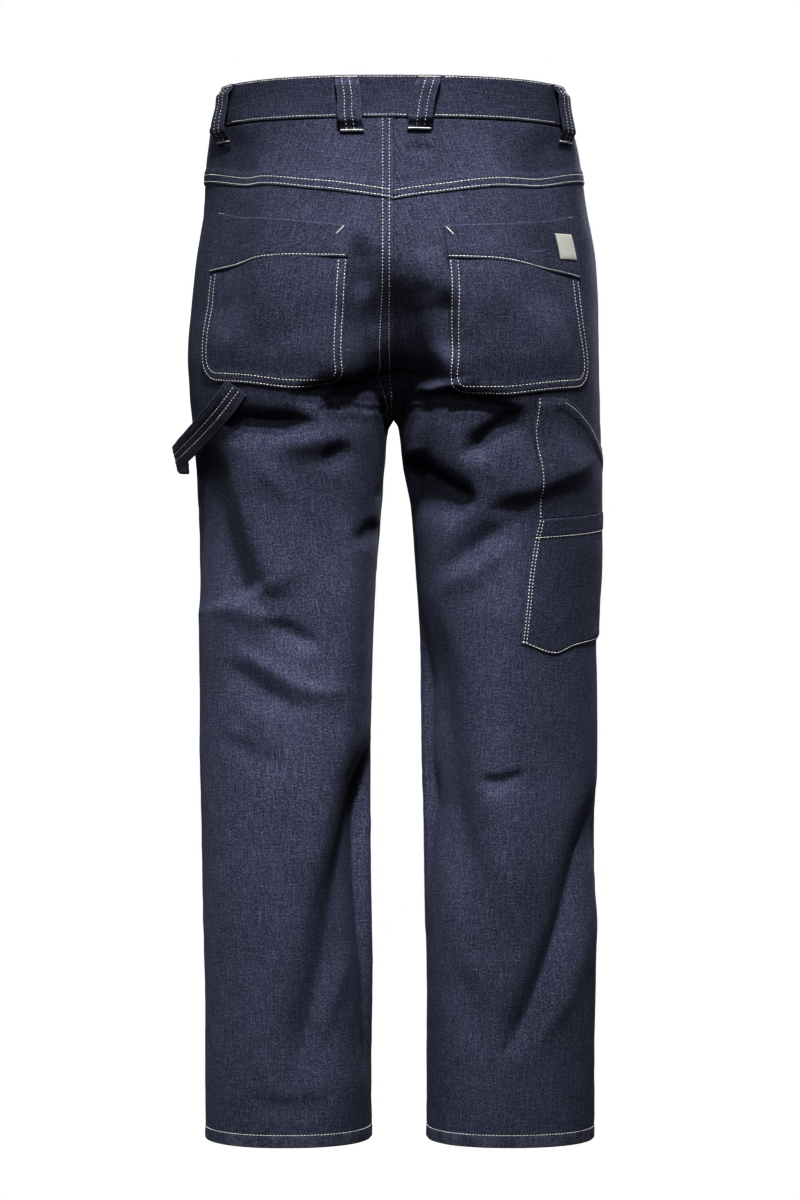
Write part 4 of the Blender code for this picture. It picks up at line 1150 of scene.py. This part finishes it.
def fly_front():
    a = graded(44 * MM, EDGE, 1.8 * MM) / (44 * MM)
    across, down = np.meshgrid(a, graded(162 * MM, EDGE[:8], 2.2 * MM) / (162 * MM), indexing="ij")
    reach = (FLY["edge"] + (FLY["wide"] - FLY["edge"]) * across) * MM
    low = FLY["low"] + 42.0 * across**2.2
    top = BAND_LOW + 4 * MM
    level = top + (low * MM - top) * down
    e_free = across * 44 * MM
    e_low = (1 - down) * 150 * MM
    e_in = (1 - across) * 44 * MM
    lift = 1.75 * MM - roll(e_free, 1.1 * MM) - 0.7 * roll(e_low, 1.1 * MM) + dip(e_free, ROW_IN, 0.4 * MM)
    lift = lift - 0.50 * MM * (1 - step(e_in / (3 * MM))) - 0.6 * MM * step((level - BAND_LOW + 1.5 * MM) / (3 * MM))
    base, out = fly_surface(reach, level, 0 * reach)
    lift = lift + 0.35 * MM * mottle(base, 0.009)
    where, out = fly_surface(reach, level, lift)
    wear = 0.7 * np.exp(-((e_free / (1.2 * MM)) ** 2))
    return shell("fly_front_cloth", "fly_front", where, np.stack([reach, level], -1), CLOTH, DENIM["yoke"], None, wear, toward=out)


def waist_button():
    face_y = -float(BODY["front"](-10.0 * MM)) - BAND_LAP_LIFT - 0.3 * MM
    profile = (  # share of the radius, height in mm: shank plate, rolled rim, dished face, centre boss
        (0.0, 0.0), (0.62, 0.0), (0.80, 0.5), (0.96, 1.2), (1.0, 1.9), (0.985, 2.6), (0.93, 3.05), (0.86, 3.18),
        (0.79, 3.05), (0.73, 2.62), (0.66, 2.35), (0.50, 2.25), (0.34, 2.28), (0.27, 2.55), (0.20, 2.78), (0.10, 2.86), (0.0, 2.88),
    )
    turns = 56
    verts, faces = [], []
    for r, h in profile:
        for k in range(turns):
            a = 2 * math.pi * k / turns
            verts.append((BUTTON_RADIUS * max(r, 0.004) * math.cos(a), face_y - h * MM, BUTTON_RADIUS * max(r, 0.004) * math.sin(a)))
    for i in range(len(profile) - 1):
        for k in range(turns):
            n = (k + 1) % turns
            faces.append((i * turns + k, i * turns + n, (i + 1) * turns + n, (i + 1) * turns + k))
    faces.append(tuple(range(turns))[::-1])
    faces.append(tuple((len(profile) - 1) * turns + k for k in range(turns)))
    mesh = bpy.data.meshes.new("waist_button_face")
    mesh.from_pydata(verts, [], faces)
    mesh.shade_smooth()
    mesh.materials.append(brass_material())
    ob = bpy.data.objects.new("waist_button_face", mesh)
    bpy.context.scene.collection.objects.link(ob)
    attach(ob, "root")
    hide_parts("waist_button")
    return ob


# ---------------------------------------------------------------- stitches
def stitch_shape():
    """One stitch: a short thread, thick in the middle and sunk at both ends; length 1, unit radius."""
    rings, around = 5, 6
    verts, faces = [], []
    for i in range(rings):
        t = i / (rings - 1)
        fat = (0.50, 0.95, 1.0, 0.95, 0.50)[i]
        rise = (-0.70, 0.35, 0.62, 0.35, -0.70)[i]
        for k in range(around):
            a = 2 * math.pi * k / around
            verts.append((t - 0.5, fat * math.cos(a), rise + fat * math.sin(a)))
    for i in range(rings - 1):
        for k in range(around):
            n = (k + 1) % around
            faces.append((i * around + k, i * around + n, (i + 1) * around + n, (i + 1) * around + k))
    faces.append(tuple(range(around))[::-1])
    faces.append(tuple((rings - 1) * around + k for k in range(around)))
    return np.array(verts), faces


STITCH_VERTS, STITCH_FACES = stitch_shape()
THREADS = {}
WOBBLE = np.random.RandomState(5)


def add_stitch(group, a, b, normal, radius=THREAD_RADIUS):
    """A stitch from a to b lying on a surface with this normal."""
    along = b - a
    length = np.linalg.norm(along)
    if length < 0.2 * MM:
        return
    along = along / length
    normal = normal - along * normal.dot(along)
    normal /= np.linalg.norm(normal)
    across = np.cross(normal, along)
    v = STITCH_VERTS
    THREADS.setdefault(group, []).append(
        (a + b) / 2 + v[:, :1] * along * length + v[:, 1:2] * across * radius + v[:, 2:3] * normal * radius
    )


def cast(origin, direction, on, over=()):
    """The outermost point of the named cloths along a ray, unless something else covers it."""
    origin, direction = Vector(origin), Vector(direction)
    best = None
    for name in on:
        hit, normal, _, dist = SURFACES[name].ray_cast(origin, direction, 0.06)
        if hit is not None and (best is None or dist < best[2]):
            best = (np.array(hit), np.array(normal), dist)
    if best is None:
        return None
    for name in over:
        hit, _, _, dist = SURFACES[name].ray_cast(origin, direction, 0.06)
        if hit is not None and dist < best[2] - 0.4 * MM:
            return None
    n = best[1]
    if n @ np.array(direction) > 0:
        n = -n
    return best[0], n


def sew(group, side, face, line, on, over=(), cover=0.84, pitch=STITCH_PITCH, radius=THREAD_RADIUS, smooth=True, wander=0.16 * MM):
    """Stitches along a line of (distance from the outseam, level) in metres, laid on the cloth."""
    line = np.array(line, float)
    if smooth and len(line) > 2:
        line = smooth_line(line, 12)
    seg = np.linalg.norm(np.diff(line, axis=0), axis=1)
    run = np.concatenate([[0], np.cumsum(seg)])
    count = max(2, int(run[-1] / (0.5 * MM)))
    s = np.linspace(0, run[-1], count)
    d, z = np.interp(s, run, line[:, 0]), np.interp(s, run, line[:, 1])
    u = np.clip(share(side, face, d, z), 0, 1)
    p, n = point(side, face, u, z), outward(side, face, u, z)
    real = np.concatenate([[0], np.cumsum(np.linalg.norm(np.diff(p, axis=0), axis=1))])
    at = 0.0
    while at + pitch * 0.6 < real[-1]:
        jitter = WOBBLE.uniform(-0.06, 0.06, 3)
        a = at + pitch * ((1 - cover) / 2 + jitter[0])
        b = at + pitch * (1 - (1 - cover) / 2 + jitter[1])
        ends = []
        for q in (a, b):
            k = np.interp(q, real, np.arange(count))
            i = int(min(k, count - 2))
            t = k - i
            pos, nor = p[i] * (1 - t) + p[i + 1] * t, n[i] * (1 - t) + n[i + 1] * t
            tangent = p[min(i + 1, count - 1)] - p[i]
            side_way = np.cross(nor, tangent)
            side_way /= np.linalg.norm(side_way) + 1e-12
            got = cast(pos + nor * 0.025 + side_way * jitter[2] * 2 * wander, -nor, on, over)
            ends.append(got)
        if ends[0] is not None and ends[1] is not None and np.linalg.norm(ends[0][0] - ends[1][0]) < 1.8 * pitch:
            add_stitch(group, ends[0][0], ends[1][0], ends[0][1] + ends[1][1], radius)
        at += pitch


def bartack(group, side, face, a, b, on, width=1.9 * MM, radius=0.36 * MM):
    """A dense zigzag bar between two (distance, level) points."""
    a, b = np.array(a, float), np.array(b, float)
    length = np.linalg.norm(b - a)
    across = np.array([-(b - a)[1], (b - a)[0]]) / length
    count = int(length / (0.62 * MM))
    got = []
    for k in range(count + 1):
        m = a + (b - a) * k / count + across * width / 2 * (1 if k % 2 else -1) * (0.9 + 0.15 * math.sin(k * 1.7))
        u = np.array(share(side, face, m[0], m[1]))
        pos, nor = point(side, face, u, np.array(m[1])), outward(side, face, u, np.array(m[1]))
        got.append(cast(pos + nor * 0.025, -nor, on))
    for p, q in zip(got[:-1], got[1:]):
        if p is not None and q is not None and np.linalg.norm(p[0] - q[0]) < 8 * MM:
            lift = 0.15 * MM
            add_stitch(group, p[0] + p[1] * lift, q[0] + q[1] * lift, p[1] + q[1], radius)


def inset(line, distance, flip):
    """A line moved sideways in the flat."""
    t = np.gradient(line, axis=0)
    t /= np.linalg.norm(t, axis=1)[:, None]
    n = np.stack([-t[:, 1], t[:, 0]], -1) * flip
    return line + n * distance


def finish_threads():
    for group, parts in THREADS.items():
        verts = np.vstack(parts)
        count = len(STITCH_VERTS)
        faces = [tuple(i + k * count for i in f) for k in range(len(parts)) for f in STITCH_FACES]
        mesh = bpy.data.meshes.new(group)
        mesh.from_pydata(verts.tolist(), [], faces)
        mesh.shade_smooth()
        mesh.materials.append(THREAD)
        ob = bpy.data.objects.new(group, mesh)
        bpy.context.scene.collection.objects.link(ob)
        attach(ob, "root")


def all_stitches():
    loops = [r[0] + "_cloth" for r in BELT_LOOPS[1:]]
    body = ["back_left_cloth", "back_right_cloth", "front_left_cloth", "front_right_cloth"]
    for side in (1, -1):
        word = "left" if side > 0 else "right"
        # waistband: one row just above its lower edge, one along its top, on both faces
        for face in ("back", "front"):
            for up, name in ((2.6 * MM, "low"), (BAND_TOP - BAND_LOW - 2.0 * MM, "top")):
                z = BAND_LOW + up
                g = float(girth(side, face, z))
                line = [(d, z) for d in np.linspace(0.0, g, 60)]
                sew(f"stitches_waistband_{word}", side, face, line, ["waistband_cloth"], loops, cover=0.90)
        # yoke: two rows along its lapped edge
        for e in (ROW_IN, ROW_IN + ROW_GAP):
            us = np.linspace(0.0, 1.0, 80)
            z = YOKE_LEVEL(us) - 2.2 * MM + e
            line = np.stack([(1 - us) * girth(side, "back", z), z], -1)
            sew(f"stitches_yoke_{word}", side, "back", line, [f"yoke_{word}_cloth"], [], cover=0.90)
        # hem
        for face in ("back", "front"):
            g = float(girth(side, face, HEM + 12.8 * MM))
            sew("stitches_hems", side, face, [(d, HEM + 12.8 * MM) for d in np.linspace(0, g, 50)], body, cover=0.92, radius=0.44 * MM)
    # centre back: two rows on the wearer's left of the seam, down to the fork
    for c in (4.4 * MM, 11.0 * MM):
        zs = np.linspace(BAND_LOW - 0.5 * MM, -0.322, 90)
        line = np.stack([girth(1, "back", zs) - c, zs], -1)
        sew("stitches_seat", 1, "back", line, ["yoke_left_cloth", "back_left_cloth"], ["waistband_cloth"] + loops, cover=0.60)
    # front centre below the fly: one row
    zs = np.linspace(-0.190, -0.318, 40)
    sew("stitches_front", 1, "front", np.stack([girth(1, "front", zs) - 3.5 * MM, zs], -1), ["front_left_cloth"], cover=0.8)
    # seat pockets
    for side, spec in ((1, POCKET_LEFT), (-1, POCKET_RIGHT)):
        word = "left" if side > 0 else "right"
        name = f"pocket_{word}_cloth"
        facing = f"pocket_{word}_facing_cloth"
        whole = patch_outline(side, spec)
        edge = patch_outline(side, spec, "facing", ("bottom",))
        level_of = lambda pts: np.interp(pts[:, 0], edge[::-1, 0], edge[::-1, 1])
        for e in (ROW_IN, ROW_IN + ROW_GAP):
            line = inset(whole, e, -1)
            line = line[line[:, 1] < level_of(line) - 0.5 * MM]
            sew(f"stitches_pocket_{word}", side, "back", line, [name], [facing], cover=0.70, smooth=False)
        row = inset(edge, ROW_IN, -1)
        sew(f"stitches_pocket_{word}", side, "back", row, [facing], cover=0.92)
        # tacks at the top corners
        tops = patch_plan(side, spec, np.array([0.0, 1.0]), np.zeros(2), "facing")
        inner, outer = tops
        bartack(f"stitches_pocket_{word}", side, "back", inner + np.array([-2.5, -1.2]) * MM, inner + np.array([-7.5, -9.0]) * MM, [facing], 1.5 * MM)
        for k in range(3):
            at = outer + np.array([(3.5 + 2.9 * k) * MM, (-1.2 - 0.4 * k) * MM])
            sew(f"stitches_pocket_{word}", side, "back", [at, at + np.array([2.2 * MM, -0.3 * MM])], [facing, f"back_{word}_cloth"], cover=0.9, pitch=2.2 * MM, radius=0.3 * MM)
    # tool pockets
    left = patch_outline(-1, TOOL_UPPER, sides=("inner",))
    sew("stitches_tool_pockets", -1, "back", inset(left, ROW_IN, -1), ["tool_pocket_upper_cloth"], ["pocket_right_cloth", "tool_pocket_lower_cloth"], cover=0.62)
    top = patch_plan(-1, TOOL_UPPER, np.linspace(0.19, 1, 90), np.zeros(90))
    sew("stitches_tool_pockets", -1, "back", inset(top, 3.6 * MM, 1), ["tool_pocket_upper_cloth"], ["pocket_right_cloth"], cover=0.86)
    left = patch_outline(-1, TOOL_LOWER, sides=("inner",))
    for e in (ROW_IN, ROW_IN + 2.9 * MM):
        sew("stitches_tool_pockets", -1, "back", inset(left, e, -1), ["tool_pocket_lower_cloth"], cover=0.62)
    low = patch_outline(-1, TOOL_LOWER, sides=("bottom",))
    sew("stitches_tool_pockets", -1, "back", inset(low, ROW_IN, -1), ["tool_pocket_lower_cloth"], cover=0.86, smooth=False)
    top = patch_plan(-1, TOOL_LOWER, np.linspace(0, 1, 90), np.zeros(90))
    sew("stitches_tool_pockets", -1, "back", top + np.array([0, -18.5 * MM]), ["tool_pocket_lower_cloth"], cover=0.90)
    # belt loops: two rows, a bar at each end
    for name, side, face, round_top, round_low, low, room in BELT_LOOPS[1:]:
        for share_across in LOOP_ROWS[name]:
            line = [
                ((round_top + (round_low - round_top) * t) * MM + (share_across - 0.5) * LOOP_WIDTH, BAND_TOP - 0.5 * MM + (low * MM - BAND_TOP + 0.5 * MM) * t)
                for t in np.linspace(0.04, 0.955, 20)
            ]
            sew("stitches_loops", side, face, line, [name + "_cloth"], cover=0.60)
        for t, sink in ((0.035, 0), (0.962, 0)):
            mid = (round_top + (round_low - round_top) * t) * MM
            z = BAND_TOP - 0.5 * MM + (low * MM - BAND_TOP + 0.5 * MM) * t
            half = LOOP_WIDTH / 2 - 0.6 * MM
            bartack("stitches_loops", side, face, (mid - half, z), (mid + half, z), [name + "_cloth"])
    # hammer loop: two rows along it
    for row in HAMMER_ROWS:
        t = np.linspace(0.01, 0.99, 400)
        here, wide, out = hammer_frame(t)
        p = here + wide * ((row - 0.5) * HAMMER_WIDTH)
        real = np.concatenate([[0], np.cumsum(np.linalg.norm(np.diff(p, axis=0), axis=1))])
        at = 0.0
        while at + STITCH_PITCH < real[-1]:
            got = []
            for q in (at + 0.14 * STITCH_PITCH, at + 0.86 * STITCH_PITCH):
                k = np.array([np.interp(q, real, p[:, i]) for i in range(3)])
                o = np.array([np.interp(q, real, out[:, i]) for i in range(3)])
                got.append(cast(k + o * 0.01, -o, ["hammer_loop_cloth"]))
            if got[0] is not None and got[1] is not None:
                add_stitch("stitches_hammer_loop", got[0][0], got[1][0], got[0][1] + got[1][1])
            at += STITCH_PITCH
    # fly: the curved row, and its edge row
    for e in (26.0, 32.5):
        t = np.linspace(0, 1, 60)
        reach = e * MM * np.where(t < 0.72, 1.0, np.sqrt(np.clip(1 - ((t - 0.72) / 0.28) ** 2, 0, 1)))
        z = np.linspace(BAND_LOW - 1.5 * MM, (-150.0 - e * 0.9) * MM, 60)
        g = girth(1, "front", z)
        sew("stitches_front", 1, "front", np.stack([g - reach, z], -1), ["fly_front_cloth", "front_left_cloth"], ["waistband_cloth"], cover=0.78)
    finish_threads()


DENIM = {
    "back_left": denim("denim_leg_left", 1.0),
    "back_right": denim("denim_leg_right", 2.0),
    "front_left": denim("denim_front_left", 4.0),
    "front_right": denim("denim_front_right", 5.0),
    "yoke": denim("denim_yoke", 6.0),
    "band": denim("denim_waistband", 7.0),
    "pocket_left": denim("denim_pocket_left", 8.0),
    "pocket_right": denim("denim_pocket_right", 9.0),
    # the pocket facings get a darker copy of the same denim: painted shade
    "facing_left": denim("denim_facing_left", 10.0, light=0.92),
    "facing_right": denim("denim_facing_right", 11.0, light=0.92),
    "tool_upper": denim("denim_tool_upper", 12.0),
    # the lower tool pocket gets a darker copy of the same denim: painted shade
    "tool_lower": denim("denim_tool_lower", 13.0, light=0.88),
    "strap": denim("denim_strap", 14.0),
    "hammer": denim("denim_hammer_loop", 15.0),
}

PANELS = {}
for _side in (1, -1):
    _word = "left" if _side > 0 else "right"
    PANELS[f"yoke_{_word}"] = yoke(_side)
    for _face in ("back", "front"):
        PANELS[f"{_face}_{_word}"] = leg_panel(_side, _face)
BAND = waistband()
for _side in (1, -1):
    back_pocket(_side)
tool_pockets()
label()
for _row in BELT_LOOPS[1:]:
    belt_loop(*_row)
hammer_loop()
fly_front()
waist_button()
all_stitches()

# ---------------------------------------------------------------- floor, light and camera
def floor():
    mesh = bpy.data.meshes.new("floor")
    r, n = 1.7, 72
    verts = [(0, 0, 0)] + [(r * math.cos(2 * math.pi * k / n), r * math.sin(2 * math.pi * k / n), 0) for k in range(n)]
    mesh.from_pydata([(x, y, -1.62) for x, y, _ in verts], [], [(0, 1 + k, 1 + (k + 1) % n) for k in range(n)])
    mat, tree, shader = nodes_of("floor_paint")
    k = Maker(tree)
    tone = k.noise(k.scaled(k.node("ShaderNodeTexCoord").outputs["Object"], (3, 3, 3)), 1.0, 2.0)
    k.put(shader.inputs["Base Color"], k.mix(tone, (0.78, 0.78, 0.78, 1), (0.82, 0.82, 0.82, 1)))
    shader.inputs["Roughness"].default_value = 0.9
    shader.inputs["Emission Color"].default_value = (1, 1, 1, 1)
    shader.inputs["Emission Strength"].default_value = 0.88
    mesh.materials.append(mat)
    ob = bpy.data.objects.new("floor", mesh)
    ob.visible_diffuse = False
    ob.visible_glossy = False
    bpy.context.scene.collection.objects.link(ob)


def softbox(name, where, aim, size, power, tint=(1, 1, 1)):
    data = bpy.data.lights.new(name, "AREA")
    data.shape = "RECTANGLE"
    data.size, data.size_y = size
    data.energy = power
    data.color = tint
    ob = bpy.data.objects.new(name, data)
    ob.location = where
    ob.rotation_euler = (Vector(aim) - Vector(where)).to_track_quat("-Z", "Y").to_euler()
    bpy.context.scene.collection.objects.link(ob)


def spot(name, where, aim, half_angle, power, soft):
    data = bpy.data.lights.new(name, "SPOT")
    data.spot_size = math.radians(2 * half_angle)
    data.spot_blend = 1.0
    data.shadow_soft_size = soft
    data.energy = power
    ob = bpy.data.objects.new(name, data)
    ob.location = where
    ob.rotation_euler = (Vector(aim) - Vector(where)).to_track_quat("-Z", "Y").to_euler()
    bpy.context.scene.collection.objects.link(ob)


def studio():
    floor()
    # a high spot for the seat, one above the thighs, one from the upper left for the legs, and a weak broad one
    spot("seat_key", (0.0, 1.55, 2.45), (0.0, 0.1, 0.0), 7.0, 620.0, 0.13)
    spot("thigh_key", (-0.15, 1.9, 1.75), (0.0, 0.05, -0.42), 7.2, 400.0, 0.13)
    spot("leg_key", (0.4, 2.6, 0.95), (0.05, 0.0, -1.0), 11.0, 590.0, 0.13)
    spot("broad", (0.1, 3.2, 0.4), (0.0, 0.0, -0.55), 30.0, 45.0, 0.2)
    # the front and the sides
    softbox("front_soft", (-0.9, -3.0, 1.0), (0.0, 0.0, -0.5), (1.8, 1.8), 230.0)
    softbox("side_left", (3.1, -0.9, 0.5), (0.0, 0.0, -0.5), (1.4, 1.8), 45.0)
    softbox("side_right", (-3.1, -0.9, 0.5), (0.0, 0.0, -0.5), (1.4, 1.8), 45.0)
    world = bpy.data.worlds.new("studio")
    bpy.context.scene.world = world
    world.use_nodes = True
    tree = world.node_tree
    tree.nodes.clear()
    k = Maker(tree)
    out = k.node("ShaderNodeOutputWorld")
    seen = k.node("ShaderNodeBackground")
    seen.inputs[0].default_value = (1, 1, 1, 1)
    seen.inputs[1].default_value = 1.0
    # the room's far wall, behind the garment, is brighter than the side of the camera
    split = k.node("ShaderNodeSeparateXYZ")
    k.put(split.inputs[0], k.node("ShaderNodeTexCoord").outputs["Generated"])
    fill = k.node("ShaderNodeBackground")
    fill.inputs[0].default_value = (0.72, 0.82, 1.0, 1)
    k.put(fill.inputs[1], k.ramp(split.outputs[1], -0.9, 0.30, 0.42, 0.02))
    path = k.node("ShaderNodeLightPath")
    mix = k.node("ShaderNodeMixShader")
    k.put(mix.inputs[0], path.outputs["Is Camera Ray"])
    k.put(mix.inputs[1], fill.outputs[0])
    k.put(mix.inputs[2], seen.outputs[0])
    k.put(out.inputs[0], mix.outputs[0])


def camera():
    data = bpy.data.cameras.new("view")
    data.sensor_width = 36.0
    data.lens = 36.0 * 3.2 / 1.248
    ob = bpy.data.objects.new("view", data)
    ob.location = (-0.00624, 3.2, -0.5065)
    ob.rotation_euler = (math.radians(90), 0, math.radians(180))
    bpy.context.scene.collection.objects.link(ob)
    bpy.context.scene.camera = ob


studio()
camera()
bpy.context.scene.view_settings.view_transform = "Standard"
bpy.context.scene.view_settings.gamma = 0.62
bpy.context.view_layer.update()
